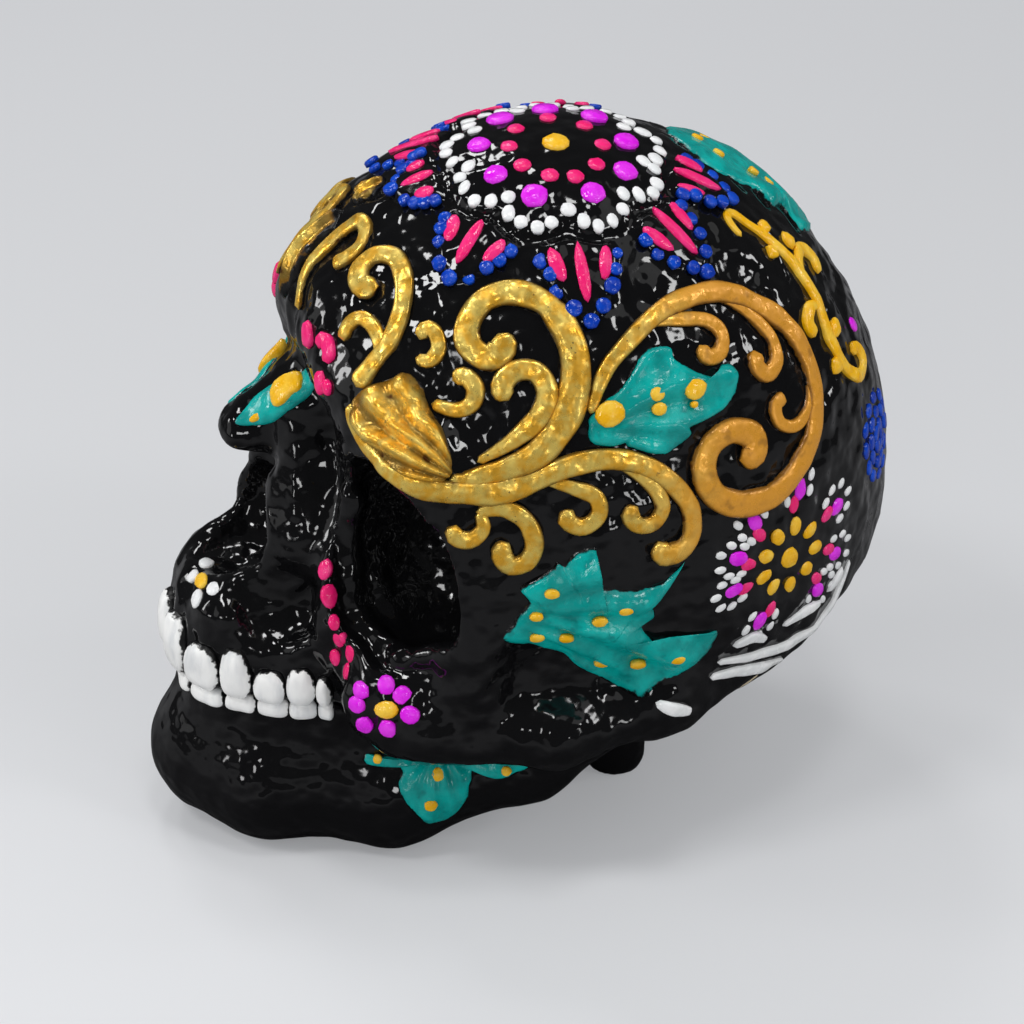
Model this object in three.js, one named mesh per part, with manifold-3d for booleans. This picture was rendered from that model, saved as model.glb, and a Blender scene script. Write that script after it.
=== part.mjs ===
// A painted sugar skull: a lacquered skull casting with a raised flower on its crown, its jaw,
// two rows of teeth, raised gold scrolls and raised green leaves. Millimetres, +Z up, the face
// looks along -Y, and the skull's own left side is +X.
import * as THREE from "three";
import Module from "manifold-3d";

const wasm = await Module();
wasm.setup();

// Sizes of the skull. The face and the braincase are both parts of one ball.
const BALL = { centre: [0, -4.8, 70.2], radii: [52, 66.5, 71.6], tip: -24 };
const BITE = 37.2; // height of the bite line
const UPPER_ARCH = { front: -85.5, depth: 28, width: 25.5 }; // curve of the upper gum
const LOWER_ARCH = { front: -84.5, depth: 28, width: 25 };
const ARCH_POWER = 2.8; // a gum is flat in front and straight along the sides
const RIDGE_WALL = { front: 14.5, side: 7 }; // thickness of the lower gum
const UPPER_TEETH = { bulge: 1.9, gap: 0.4 }; // gap: from the bite line to the teeth
const LOWER_TEETH = { bulge: 1.4, gap: 0.7, height: 3.4, share: 0.95 };
const GLUE = 0.3; // joint left under every raised piece
const TOOTH_GLUE = 0.5;
const JOINT = 0.8; // joint between the jaw and the skull
const CORD = { step: 3.4, rise: 0.55, sides: 5 }; // rise as a share of the width
const FLOWER_ROOT = 1.2; // depth to which the flower's petals are rooted in the casting
const HEART = [0, -5, 70]; // ornament is laid out in degrees round this point

const BLACK = { color: "#0c0c0e", roughness: 0.22, metalness: 0 };
const WHITE = { color: "#f3f1ea", roughness: 0.5, metalness: 0 };
const GOLD = { color: "#c9973a", roughness: 0.35, metalness: 0.8 };
const GREEN = { color: "#05a79d", roughness: 0.4, metalness: 0 };

const rad = THREE.MathUtils.degToRad;

// Distance fields. Each shape is a function of x, y, z that is negative inside.
function softMin(a, b, k) {
  if (k === 0) return Math.min(a, b);
  const h = Math.min(1, Math.max(0, 0.5 + (0.5 * (b - a)) / k));
  return b + (a - b) * h - k * h * (1 - h);
}

const softMax = (a, b, k) => -softMin(-a, -b, k);

const UPRIGHT = [
  [1, 0, 0],
  [0, 1, 0],
  [0, 0, 1],
];

// Axes tipped about X, so that the long axis leans forward.
function tipped(degrees) {
  const c = Math.cos(rad(degrees));
  const s = Math.sin(rad(degrees));
  return [
    [1, 0, 0],
    [0, c, -s],
    [0, s, c],
  ];
}

// Axes of an eye socket that looks outward and whose top leans to the nose.
function socketAxes(yaw, roll) {
  const side = new THREE.Vector3(Math.cos(rad(yaw)), Math.sin(rad(yaw)), 0);
  const out = new THREE.Vector3(Math.sin(rad(yaw)), -Math.cos(rad(yaw)), 0);
  const up = new THREE.Vector3(0, 0, 1);
  const c = Math.cos(rad(roll));
  const s = Math.sin(rad(roll));
  const across = side.clone().multiplyScalar(c).addScaledVector(up, s);
  const along = up.clone().multiplyScalar(c).addScaledVector(side, -s);
  return [across.toArray(), out.toArray(), along.toArray()];
}

function ellipsoid(centre, radii, axes = UPRIGHT) {
  return (x, y, z) => {
    const p = [x - centre[0], y - centre[1], z - centre[2]];
    let near = 0;
    let steep = 0;
    for (let i = 0; i < 3; i++) {
      const a = axes[i];
      const q = (p[0] * a[0] + p[1] * a[1] + p[2] * a[2]) / radii[i];
      near += q * q;
      steep += (q / radii[i]) ** 2;
    }
    near = Math.sqrt(near);
    return (near * (near - 1)) / Math.max(Math.sqrt(steep), 1e-6);
  };
}

// A round rod from a to b whose radius runs from ra to rb.
function rod(a, b, ra, rb) {
  const ab = [b[0] - a[0], b[1] - a[1], b[2] - a[2]];
  const span = ab[0] ** 2 + ab[1] ** 2 + ab[2] ** 2;
  return (x, y, z) => {
    const p = [x - a[0], y - a[1], z - a[2]];
    const dot = p[0] * ab[0] + p[1] * ab[1] + p[2] * ab[2];
    const t = Math.min(1, Math.max(0, dot / span));
    return (
      Math.hypot(p[0] - ab[0] * t, p[1] - ab[1] * t, p[2] - ab[2] * t) -
      (ra + (rb - ra) * t)
    );
  };
}

// Everything on the far side of a plane from its normal.
function halfSpace(point, normal) {
  return (x, y, z) =>
    (x - point[0]) * normal[0] +
    (y - point[1]) * normal[1] +
    (z - point[2]) * normal[2];
}

const archY = (arch, x) =>
  arch.front + arch.depth * (Math.abs(x) / arch.width) ** ARCH_POWER;
const archSlope = (arch, x) =>
  ((ARCH_POWER * arch.depth) / arch.width) *
  (Math.abs(x) / arch.width) ** (ARCH_POWER - 1);

// How far across the face a place is that lies a given length along the left half of an arch.
function archX(arch, along) {
  const steps = 200;
  let x = 0;
  for (let i = 0; i < steps; i++)
    x += along / steps / Math.hypot(1, archSlope(arch, x));
  return x;
}

// The inside of a dental arch, seen from above.
function insideArch(arch) {
  return (x, y) =>
    (archY(arch, x) - y) / Math.sqrt(1 + archSlope(arch, x) ** 2);
}

const slab = (low, high) => (x, y, z) =>
  Math.abs(z - (low + high) / 2) - (high - low) / 2;

// Joins, cuts and trims in turn; the skull is the same on both sides.
function sculpt(steps) {
  return (x, y, z) => {
    const ax = Math.abs(x);
    let d = 1000;
    for (const [how, k, shape] of steps) {
      const s = shape(ax, y, z);
      if (how === "add") d = softMin(d, s, k);
      else d = softMax(d, how === "cut" ? -s : s, k);
    }
    return d;
  };
}

const gum = sculpt([
  ["add", 0, insideArch(UPPER_ARCH)],
  ["trim", 2, halfSpace([0, 0, BITE], [0, 0, -1])],
  ["trim", 6, halfSpace([0, -80, 61], [0, -0.83, 0.55])],
  ["trim", 8, halfSpace([0, 0, 60], [0, 0, 1])],
  ["trim", 5, halfSpace([0, -38, 0], [0, 1, 0])],
]);

const slope = rad(26); // underside of the back of the head

const skull = sculpt([
  ["add", 0, ellipsoid(BALL.centre, BALL.radii, tipped(BALL.tip))],
  ["trim", 14, halfSpace([0, 16, 25], [0, Math.sin(slope), -Math.cos(slope)])],
  ["trim", 10, halfSpace([0, 0, 30], [0, 0, -1])],
  // the front is set back under the brow
  ["trim", 6, halfSpace([0, -60, 0], [0, -1, 0])],
  ["cut", 8, ellipsoid([0, -95, 86], [70, 44, 30])],
  // brow ridge and outer wall of the socket
  ["add", 7, rod([6, -49, 107], [22, -46.5, 104], 6, 5.5)],
  ["add", 6, rod([22, -46.5, 104], [37, -43, 95], 5.5, 6)],
  ["add", 8, rod([38, -41, 92], [44, -33, 54], 5.5, 6)],
  // upper jaw, gum and the side wall of the nose
  ["add", 8, ellipsoid([0, -56.5, 60], [18, 19.5, 20])],
  ["add", 6, gum],
  ["add", 7, rod([7, -57, 92], [12.5, -61, 57], 4.5, 6)],
  ["add", 4, rod([0, -50, 95], [0, -57, 84], 7, 6)],
  // lower rim of the socket, cheekbone and cheek arch
  ["add", 5, rod([20, -52, 48], [42, -36, 48], 5, 6)],
  ["add", 6, ellipsoid([34, -46, 42], [9, 12, 11])],
  ["add", 6, rod([40, -42, 39], [47, -20, 38], 7.5, 6)],
  ["add", 6, rod([47, -20, 38], [44, 0, 41], 6, 7)],
  ["cut", 7, rod([52, -26, 54], [53, -6, 50], 5, 4)],
  // bump behind the ear
  ["add", 8, rod([40, 3, 40], [37, 2, 32], 8, 5.5)],
  // eye socket, with its low outer corner
  ["cut", 1.6, ellipsoid([36, -49, 72], [14.8, 26, 21.5], socketAxes(32, 12))],
  ["cut", 1.6, rod([31, -51, 61], [42, -42, 62], 7.5, 5.5)],
  // nose bones, the two halves of the nose opening and the hollow beside it
  ["add", 5, rod([0, -50, 96], [0, -67.5, 86], 8, 5.5)],
  ["cut", 2.5, ellipsoid([0, -71, 67], [12.5, 14, 11])],
  ["cut", 2.5, ellipsoid([0, -72, 76], [6.5, 12, 8])],
  ["cut", 6, ellipsoid([19, -67, 57], [4.5, 8, 7])],
  // foot under the base
  ["add", 4, rod([10, 3, 30], [9.5, 5, 3.5], 9, 6.5)],
]);

const INNER_ARCH = {
  front: LOWER_ARCH.front + RIDGE_WALL.front,
  depth: LOWER_ARCH.depth,
  width: LOWER_ARCH.width - RIDGE_WALL.side,
};

const ridge = sculpt([
  ["add", 0, insideArch(LOWER_ARCH)],
  ["cut", 4, insideArch(INNER_ARCH)],
  ["trim", 2, slab(17, BITE - 0.5)],
  ["trim", 4, halfSpace([0, -44, 0], [0, 1, 0])],
]);

// The jaw spreads with its gum: chin, its two corners, the angle and the top of the branch.
const spread = (share, y, z) => [share * LOWER_ARCH.width, y, z];
const CHIN = spread(0, -76, 15.3);
const CHIN_CORNER = spread(0.36, -69, 13);
const JAW_SIDE = spread(0.76, -46, 11.7);
const JAW_ANGLE = spread(1.12, -20, 20);
const JAW_TOP = spread(1.36, -6, 31);

const jawBone = sculpt([
  ["add", 0, rod(CHIN, CHIN_CORNER, 16, 13.3)],
  ["add", 6, rod(CHIN_CORNER, JAW_SIDE, 13.3, 12)],
  ["add", 6, rod(JAW_SIDE, JAW_ANGLE, 12, 9)],
  ["add", 5, rod(JAW_ANGLE, JAW_TOP, 9, 7)],
  ["add", 5, ridge],
]);

// The jaw stops at a thin joint short of the skull.
const jaw = (x, y, z) => Math.max(jawBone(x, y, z), JOINT - skull(x, y, z));

function gradient(field, p) {
  const h = 0.05;
  const [x, y, z] = p;
  const g = new THREE.Vector3(
    field(x + h, y, z) - field(x - h, y, z),
    field(x, y + h, z) - field(x, y - h, z),
    field(x, y, z + h) - field(x, y, z - h),
  );
  return g.divideScalar(2 * h);
}

// Moves a point onto a level of a field, no further than reach.
function settle(field, p, level, reach) {
  const start = p.clone();
  for (let i = 0; i < 4; i++) {
    const g = gradient(field, p.toArray());
    const d = field(p.x, p.y, p.z) - level;
    p.addScaledVector(g, -d / Math.max(g.lengthSq(), 0.2));
  }
  if (p.distanceTo(start) > reach) p.copy(start);
  return p;
}

// Solids from triangles, and meshes from solids.
function solid(points, triangles) {
  return new wasm.Manifold(
    new wasm.Mesh({
      numProp: 3,
      vertProperties: new Float32Array(points.flatMap((p) => p.toArray())),
      triVerts: new Uint32Array(triangles.flat()),
    }),
  );
}

function geometryOf(made) {
  const m = made.getMesh();
  return new THREE.BufferGeometry()
    .setAttribute("position", new THREE.BufferAttribute(m.vertProperties, 3))
    .setIndex(new THREE.BufferAttribute(m.triVerts, 1));
}

// The faces of a grid cell, as corners in turn round each face.
const CELL_FACES = [
  [0, 2, 6, 4],
  [1, 3, 7, 5],
  [0, 1, 5, 4],
  [2, 3, 7, 6],
  [0, 1, 3, 2],
  [4, 5, 7, 6],
];
const edgeKey = (a, b) => Math.min(a, b) * 8 + Math.max(a, b);

// The crossed edges of a cell, gathered into the separate sheets that pass through it.
function sheets(inside) {
  const parent = new Map();
  const find = (e) => (parent.get(e) === e ? e : find(parent.get(e)));
  for (let a = 0; a < 8; a++)
    for (const bit of [1, 2, 4])
      if (!(a & bit) && inside[a] !== inside[a | bit])
        parent.set(edgeKey(a, a | bit), edgeKey(a, a | bit));
  for (const face of CELL_FACES) {
    const side = face.map((c, i) => edgeKey(c, face[(i + 1) % 4]));
    const crossed = side.filter((e) => parent.has(e));
    if (crossed.length === 2) parent.set(find(crossed[0]), find(crossed[1]));
    if (crossed.length === 4)
      face.forEach((c, i) => {
        if (inside[c]) parent.set(find(side[i]), find(side[(i + 3) % 4]));
      });
  }
  const out = new Map();
  for (const e of parent.keys()) {
    const root = find(e);
    if (!out.has(root)) out.set(root, []);
    out.get(root).push(e);
  }
  return [...out.values()];
}

// One vertex for every sheet in a cell, and one quad for every crossed edge.
function skin(field, xs, ys, zs) {
  const size = [xs.length, ys.length, zs.length];
  const at = (i, j, k) => (i * size[1] + j) * size[2] + k;
  const value = new Float64Array(size[0] * size[1] * size[2]);
  for (let i = 0; i < size[0]; i++)
    for (let j = 0; j < size[1]; j++)
      for (let k = 0; k < size[2]; k++)
        value[at(i, j, k)] = field(xs[i], ys[j], zs[k]);

  const points = [];
  const vertex = new Map();
  const node = (i, j, k, c) => [i + (c & 1), j + ((c >> 1) & 1), k + (c >> 2)];
  for (let i = 0; i + 1 < size[0]; i++)
    for (let j = 0; j + 1 < size[1]; j++)
      for (let k = 0; k + 1 < size[2]; k++) {
        const level = [];
        for (let c = 0; c < 8; c++) level.push(value[at(...node(i, j, k, c))]);
        const inside = level.map((v) => v < 0);
        if (inside.every((v) => v === inside[0])) continue;
        for (const sheet of sheets(inside)) {
          const sum = new THREE.Vector3();
          for (const e of sheet) {
            const [a, b] = [e >> 3, e & 7];
            const [p, q] = [node(i, j, k, a), node(i, j, k, b)];
            const from = new THREE.Vector3(xs[p[0]], ys[p[1]], zs[p[2]]);
            const to = new THREE.Vector3(xs[q[0]], ys[q[1]], zs[q[2]]);
            sum.add(from.lerp(to, level[a] / (level[a] - level[b])));
            vertex.set(at(i, j, k) * 64 + e, points.length);
          }
          const p = sum.divideScalar(sheet.length);
          points.push(settle(field, p, 0, 0.45 * (xs[i + 1] - xs[i])));
        }
      }

  const triangles = [];
  const quad = (a, b, c, d, flip) => {
    const short =
      points[a].distanceTo(points[c]) <= points[b].distanceTo(points[d]);
    const pair = short
      ? [
          [a, b, c],
          [a, c, d],
        ]
      : [
          [b, c, d],
          [b, d, a],
        ];
    for (const t of pair) triangles.push(flip ? [t[0], t[2], t[1]] : t);
  };
  for (let i = 1; i + 1 < size[0]; i++)
    for (let j = 1; j + 1 < size[1]; j++)
      for (let k = 1; k + 1 < size[2]; k++) {
        const inside = value[at(i, j, k)] < 0;
        const v = (di, dj, dk, bit) => {
          const c = di + 2 * dj + 4 * dk;
          return vertex.get(at(i - di, j - dj, k - dk) * 64 + edgeKey(c, c | bit));
        };
        if (inside !== value[at(i + 1, j, k)] < 0)
          quad(v(0, 1, 1, 1), v(0, 0, 1, 1), v(0, 0, 0, 1), v(0, 1, 0, 1), !inside);
        if (inside !== value[at(i, j + 1, k)] < 0)
          quad(v(1, 0, 1, 2), v(1, 0, 0, 2), v(0, 0, 0, 2), v(0, 0, 1, 2), !inside);
        if (inside !== value[at(i, j, k + 1)] < 0)
          quad(v(1, 1, 0, 4), v(0, 1, 0, 4), v(0, 0, 0, 4), v(1, 0, 0, 4), !inside);
      }
  return solid(points, triangles);
}

// Grid lines from low to high, whose step depends on where they are.
function lines(low, high, step) {
  const out = [low];
  while (out[out.length - 1] < high) {
    const last = out[out.length - 1];
    out.push(last + step(last));
  }
  return out;
}

function evenLines(half, step) {
  const n = Math.ceil(half / step);
  return Array.from({ length: 2 * n + 1 }, (_, i) => (i - n) * step);
}

// What reaches below the floor is cut off flat.
const floorCut = (made) => made.trimByPlane([0, 0, 1], 0);

// An outline whose second half mirrors the first about a meridian.
function mirrored(half, lon = 0) {
  const back = half.slice(1, -1).reverse();
  return [...half, ...back.map(([u, v]) => [2 * lon - u, v])];
}

// A direction: degrees round from the nose to the left ear, degrees up.
function wayTo(lon, lat) {
  return new THREE.Vector3(
    Math.cos(rad(lat)) * Math.sin(rad(lon)),
    -Math.cos(rad(lat)) * Math.cos(rad(lon)),
    Math.sin(rad(lat)),
  );
}

// Where a ray from a heart reaches a distance off a surface, found from outside.
function march(field, heart, way, lift) {
  const p = new THREE.Vector3();
  let t = 1.4 * Math.max(...BALL.radii);
  for (let i = 0; i < 80; i++) {
    p.fromArray(heart).addScaledVector(way, t);
    t -= (field(p.x, p.y, p.z) - lift) * 0.85;
  }
  return p.fromArray(heart).addScaledVector(way, t);
}

// Places on a surface by direction and the distance off it.
function polar(field, heart) {
  return (lon, lat, lift) => march(field, heart, wayTo(lon, lat), lift);
}

// Places on the skull round the middle of a flower: degrees across a petal, degrees out
// along it and the distance off the surface. The petal's bearing turns from the face.
function petalPlaces(middle, bearing) {
  const axis = wayTo(...middle);
  const first = new THREE.Vector3(0, -1, 0).projectOnPlane(axis).normalize();
  const out = first.clone().applyAxisAngle(axis, rad(bearing));
  const across = new THREE.Vector3().crossVectors(axis, out);
  return (u, v, lift) => {
    const angle = rad(Math.hypot(u, v));
    const side = across.clone().multiplyScalar(u).addScaledVector(out, v).normalize();
    const way = axis.clone().multiplyScalar(Math.cos(angle));
    return march(skull, HEART, way.addScaledVector(side, Math.sin(angle)), lift);
  };
}

// A place on a gum: length along it from the middle of the face, height, distance off.
function onGum(field, arch) {
  return (along, z, lift) => {
    const x = archX(arch, along);
    const out = new THREE.Vector3(archSlope(arch, x), -1, 0).normalize();
    const p = new THREE.Vector3(x, archY(arch, x), z).addScaledVector(out, 4);
    for (let i = 0; i < 60; i++)
      p.addScaledVector(out, -(field(p.x, p.y, p.z) - lift) * 0.85);
    return p;
  };
}

const onSkull = polar(skull, HEART);

// A raised pad: rings of points from the middle to the outline, a face on the glue
// line and a face above it.
function pad(place, middle, outline, rise, joint = GLUE) {
  const rings = rise.length - 1;
  const n = outline.length;
  const points = [];
  const layer = (height) => {
    const first = points.length;
    points.push(place(middle[0], middle[1], joint + height(0)));
    for (let r = 1; r <= rings; r++)
      for (const [u, v] of outline) {
        const s = r / rings;
        const a = middle[0] + (u - middle[0]) * s;
        const b = middle[1] + (v - middle[1]) * s;
        points.push(place(a, b, joint + height(r)));
      }
    return first;
  };
  const low = layer(() => 0);
  const high = layer((r) => rise[r]);
  const triangles = [];
  const face = (first, flip) => {
    const add = (a, b, c) => triangles.push(flip ? [a, c, b] : [a, b, c]);
    for (let i = 0; i < n; i++) {
      const j = (i + 1) % n;
      add(first, first + 1 + i, first + 1 + j);
      for (let r = 1; r < rings; r++) {
        const [a, b] = [first + 1 + (r - 1) * n, first + 1 + r * n];
        add(a + i, b + i, b + j);
        add(a + i, b + j, a + j);
      }
    }
  };
  face(high, false);
  face(low, true);
  const [a, b] = [low + 1 + (rings - 1) * n, high + 1 + (rings - 1) * n];
  for (let i = 0; i < n; i++) {
    const j = (i + 1) % n;
    triangles.push([a + i, a + j, b + j], [a + i, b + j, b + i]);
  }
  const made = solid(points, triangles);
  if (made.volume() > 0) return made;
  return solid(
    points,
    triangles.map(([p, q, r]) => [p, r, q]),
  );
}

// A raised half-round cord along a curve of [lon, lat] places; its width runs through
// three values: start, middle, end.
function cord(path, [start, middle, end]) {
  const curve = new THREE.CatmullRomCurve3(
    path.map(([lon, lat]) => onSkull(lon, lat, GLUE)),
    false,
    "centripetal",
  );
  const count = Math.max(6, Math.round(curve.getLength() / CORD.step));
  const spine = curve
    .getSpacedPoints(count)
    .map((p) => settle(skull, p, GLUE, 4));
  const points = [];
  const triangles = [];
  const around = CORD.sides;
  spine.forEach((p, i) => {
    const s = i / count;
    const width =
      s < 0.35
        ? THREE.MathUtils.lerp(start, middle, s / 0.35)
        : THREE.MathUtils.lerp(middle, end, Math.max(0, (s - 0.6) / 0.4));
    const up = gradient(skull, p.toArray()).normalize();
    const ahead = spine[Math.min(i + 1, count)]
      .clone()
      .sub(spine[Math.max(i - 1, 0)]);
    const side = new THREE.Vector3().crossVectors(up, ahead).normalize();
    for (let k = 0; k < around; k++) {
      const angle = (Math.PI * k) / (around - 1);
      points.push(
        p
          .clone()
          .addScaledVector(side, Math.cos(angle) * width * 0.5)
          .addScaledVector(up, Math.sin(angle) * width * CORD.rise),
      );
    }
    if (i === 0) return;
    const [a, b] = [(i - 1) * around, i * around];
    for (let k = 0; k < around; k++) {
      const l = (k + 1) % around;
      triangles.push([a + k, b + l, a + l], [a + k, b + k, b + l]);
    }
  });
  const last = count * around;
  for (let k = 1; k + 1 < around; k++)
    triangles.push([0, k, k + 1], [last, last + k + 1, last + k]);
  const made = solid(points, triangles);
  if (made.volume() > 0) return made;
  return solid(
    points,
    triangles.map(([p, q, r]) => [p, r, q]),
  );
}

const joined = (parts) => parts.reduce((a, b) => a.add(b));

const pieces = [];

function piece(name, made, look) {
  pieces.push({ name, made, look });
}

// A piece of the left side and its mirror image on the right.
function pair(name, made, look) {
  piece(name + "_left", made, look);
  piece(name + "_right", made.mirror([1, 0, 0]), look);
}

// The casting. Cells are finer on the face than on the back of the head.
const ROOM = 12.5; // left round the casting
const top = BALL.centre[2] + BALL.radii[2];
const back = BALL.centre[1] + BALL.radii[1];
const skullX = evenLines(BALL.radii[0] + ROOM, 4.7);
const skullY = lines(UPPER_ARCH.front - ROOM, back + ROOM, (y) => (y < -28 ? 3.7 : 6.2));
const skullZ = lines(-8, top + ROOM, (z) => (z < 100 ? 4.6 : 6.2));
const casting = floorCut(skin(skull, skullX, skullY, skullZ));

// The flower on the crown: a round-lobed disc and pointed petals outside it, one for each
// gap between the lobes. The leaf at the back of the crown takes the place of a petal.
const FLOWER = [64.5, 79.9]; // its middle
const LOBES = [-20, 21, 58, 102, 143, 180, 220, 260, 300]; // bearings
const LOBE = [
  [-13, 16.7],
  [-5, 17.7],
  [5, 17.7],
  [13, 16.7],
]; // bearing off the lobe's own, and degrees out
const LOBE_RISE = [2.6, 2.6, 2.5, 2];
const PETALS = [
  [-5, 25, 6],
  [37, 28.5, 6.1],
  [84, 30.5, 6.4],
  [130, 30.5, 5.6],
  [163, 29, 4.8],
  [251, 31, 6.1],
  [291, 31, 6.1],
  [326, 31, 5.2],
]; // bearing, degrees out to the tip, half width in degrees
const PETAL_BASE = 17.9; // degrees out to a petal's base
const PETAL = [
  [0, -0.06],
  [0.9, 0],
  [1, 0.14],
  [0.97, 0.3],
  [0.76, 0.6],
  [0.42, 0.84],
  [0, 1],
]; // shares of the half width and of the length
const PETAL_RISE = [2.6, 2.5, 2];

const disc = LOBES.flatMap((bearing) =>
  LOBE.map(([turn, out]) => [
    out * Math.sin(rad(bearing + turn)),
    out * Math.cos(rad(bearing + turn)),
  ]),
);
const flower = [pad(petalPlaces(FLOWER, 0), [0, 0], disc, LOBE_RISE, -FLOWER_ROOT)];
for (const [bearing, tip, half] of PETALS) {
  const length = tip - PETAL_BASE;
  const outline = PETAL.map(([u, v]) => [u * half, PETAL_BASE + v * length]);
  const middle = [0, PETAL_BASE + 0.35 * length];
  const places = petalPlaces(FLOWER, bearing);
  flower.push(pad(places, middle, mirrored(outline), PETAL_RISE, -FLOWER_ROOT));
}
piece("cranium", joined([casting, ...flower]), BLACK);

const jawX = evenLines(BALL.radii[0], 4.8);
const jawY = lines(LOWER_ARCH.front - 1.2 * ROOM, ROOM, () => 5);
const jawZ = lines(-9, BITE + ROOM, () => 4.4);
piece("jaw", floorCut(skin(jaw, jawX, jawY, jawZ)), BLACK);

// Teeth: name, length along the gum from the middle of the face, width, height.
const TEETH = [
  ["incisor_1", 4.6, 8.2, 12.4],
  ["incisor_2", 13.4, 8.4, 9.6],
  ["canine", 21.2, 6.2, 10.4],
  ["premolar_1", 28, 6.4, 6.4],
  ["premolar_2", 34.1, 5.2, 7.4],
  ["molar_1", 38.4, 2.8, 5.8],
];
const onUpperGum = onGum(skull, UPPER_ARCH);
const onLowerGum = onGum(jawBone, LOWER_ARCH);
const toothOutline = Array.from({ length: 9 }, (_, i) => {
  const a = (2 * Math.PI * i) / 9 + Math.PI / 2;
  const squared = (v) => Math.sign(v) * Math.abs(v) ** 0.7;
  return [squared(Math.cos(a)), squared(Math.sin(a))];
});

function tooth(place, along, z, width, height, bulge) {
  const outline = toothOutline.map(([u, v]) => [
    along + (u * width) / 2,
    z + (v * height) / 2,
  ]);
  const rise = [bulge, bulge * 0.85, bulge * 0.3];
  return pad(place, [along, z], outline, rise, TOOTH_GLUE);
}

for (const [name, along, width, height] of TEETH) {
  const { gap, bulge } = UPPER_TEETH;
  const upper = tooth(onUpperGum, along, BITE + gap + height / 2, width, height, bulge);
  pair("upper_" + name, upper, WHITE);
  const { share, ...low } = LOWER_TEETH;
  const z = BITE - low.gap - low.height / 2;
  const lower = tooth(onLowerGum, along * share, z, width * share, low.height, low.bulge);
  pair("lower_" + name, lower, WHITE);
}

// Gold scrolls of the left side.
const templeScroll = joined([
  cord(
    [
      [56, 24],
      [62, 26.5],
      [69, 30],
      [74, 36],
      [76, 43],
      [74, 48.5],
      [68, 53],
      [60, 54],
      [53, 52],
      [50, 48],
      [51, 44],
      [56, 42.5],
      [59, 45],
      [57, 47.5],
    ],
    [2.6, 4, 2.6],
  ),
  cord(
    [
      [57.5, 26.5],
      [63, 31],
      [68, 35],
      [70, 39],
      [67, 42.5],
      [62, 42],
      [59.5, 39],
      [61.5, 36.5],
    ],
    [1.6, 3.2, 2.4],
  ),
]);
pair("temple_scroll", templeScroll, GOLD);

const lowerScroll = joined([
  cord(
    [
      [54, 20.5],
      [60, 21],
      [67, 23.5],
      [74, 26.5],
      [82, 27.5],
      [89, 26],
      [95, 22],
      [99, 16.5],
      [100, 11],
      [97.5, 7],
      [93.5, 7],
      [92, 10],
    ],
    [2.6, 3.2, 2.4],
  ),
  cord(
    [
      [69, 24],
      [75, 22.5],
      [79.5, 20.5],
      [80, 17],
      [77, 14.5],
      [73.5, 16],
      [74.5, 18.7],
    ],
    [1.8, 2.5, 1.8],
  ),
  cord(
    [
      [84, 27],
      [91, 22],
      [93.5, 17.5],
      [92, 14],
      [88.5, 13.5],
      [86, 16],
      [88, 18.7],
    ],
    [1.8, 2.5, 1.8],
  ),
]);
pair("lower_scroll", lowerScroll, GOLD);

const hookScroll = joined([
  cord(
    [
      [57, 17.3],
      [62, 18.2],
      [66, 16],
      [68, 11.5],
      [66.5, 7.5],
      [63, 6.5],
      [61, 9.5],
      [63, 12],
    ],
    [2.2, 3.2, 2.6],
  ),
  cord(
    [
      [57.5, 17],
      [58.5, 14.5],
      [56.5, 12],
      [53.5, 12.5],
      [53.5, 15.5],
    ],
    [2, 2.6, 2.2],
  ),
]);
pair("hook_scroll", hookScroll, GOLD);

const ringScroll = joined([
  cord(
    [
      [79, 36.5],
      [82, 42],
      [88, 46.5],
      [97, 50.5],
      [107, 52],
      [117.5, 51],
      [127, 46.5],
      [133, 40],
      [134.5, 33],
      [133, 26],
      [129, 20],
      [123, 15.5],
      [116.5, 13],
      [109.5, 14],
      [104, 17.5],
      [102, 23],
      [104.5, 27.5],
      [110, 29],
      [115.5, 26.5],
      [115.5, 22.5],
      [111.5, 22],
    ],
    [1.8, 3.2, 3],
  ),
  cord(
    [
      [95, 49.5],
      [104, 49],
      [111, 47.5],
      [114, 44.5],
      [112, 41.5],
      [107.5, 41.5],
      [106, 44.5],
    ],
    [1.6, 2.4, 2],
  ),
  cord(
    [
      [117, 50.5],
      [123.5, 46],
      [127, 41],
      [126.5, 36.5],
      [122.5, 34.5],
      [119.5, 37],
      [121, 40.5],
    ],
    [1.6, 2.4, 2.4],
  ),
  cord(
    [
      [134, 31],
      [130.5, 25.5],
      [126, 24],
      [122, 26],
      [122, 30],
      [126, 31],
    ],
    [1.6, 2.2, 1.8],
  ),
]);
pair("ring_scroll", ringScroll, GOLD);

const foreheadScroll = joined([
  cord(
    [
      [32.5, 33.5],
      [34, 37],
      [35.5, 42],
      [35, 47],
      [33, 51],
      [27.5, 53.5],
      [22, 52],
      [20.5, 48.5],
      [24, 46],
      [28, 48],
    ],
    [2.4, 2.8, 3.2],
  ),
  cord(
    [
      [34, 36.5],
      [34, 39.5],
      [31, 42.5],
      [27, 43],
      [25, 40.5],
      [26, 38],
    ],
    [1.8, 2.5, 2],
  ),
]);
pair("forehead_scroll", foreheadScroll, GOLD);

const upperCurl = cord(
  [
    [41, 39.7],
    [44.5, 40],
    [46, 42.5],
    [44.5, 45],
    [41.5, 45.5],
    [40.7, 43],
  ],
  [1.6, 2, 1.6],
);
pair("upper_curl", upperCurl, GOLD);

const browCurl = cord(
  [
    [47.5, 34],
    [51, 33.5],
    [54.5, 35],
    [55, 38],
    [52, 40],
    [49, 38.5],
  ],
  [1.8, 2.5, 2],
);
pair("brow_curl", browCurl, GOLD);

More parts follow.
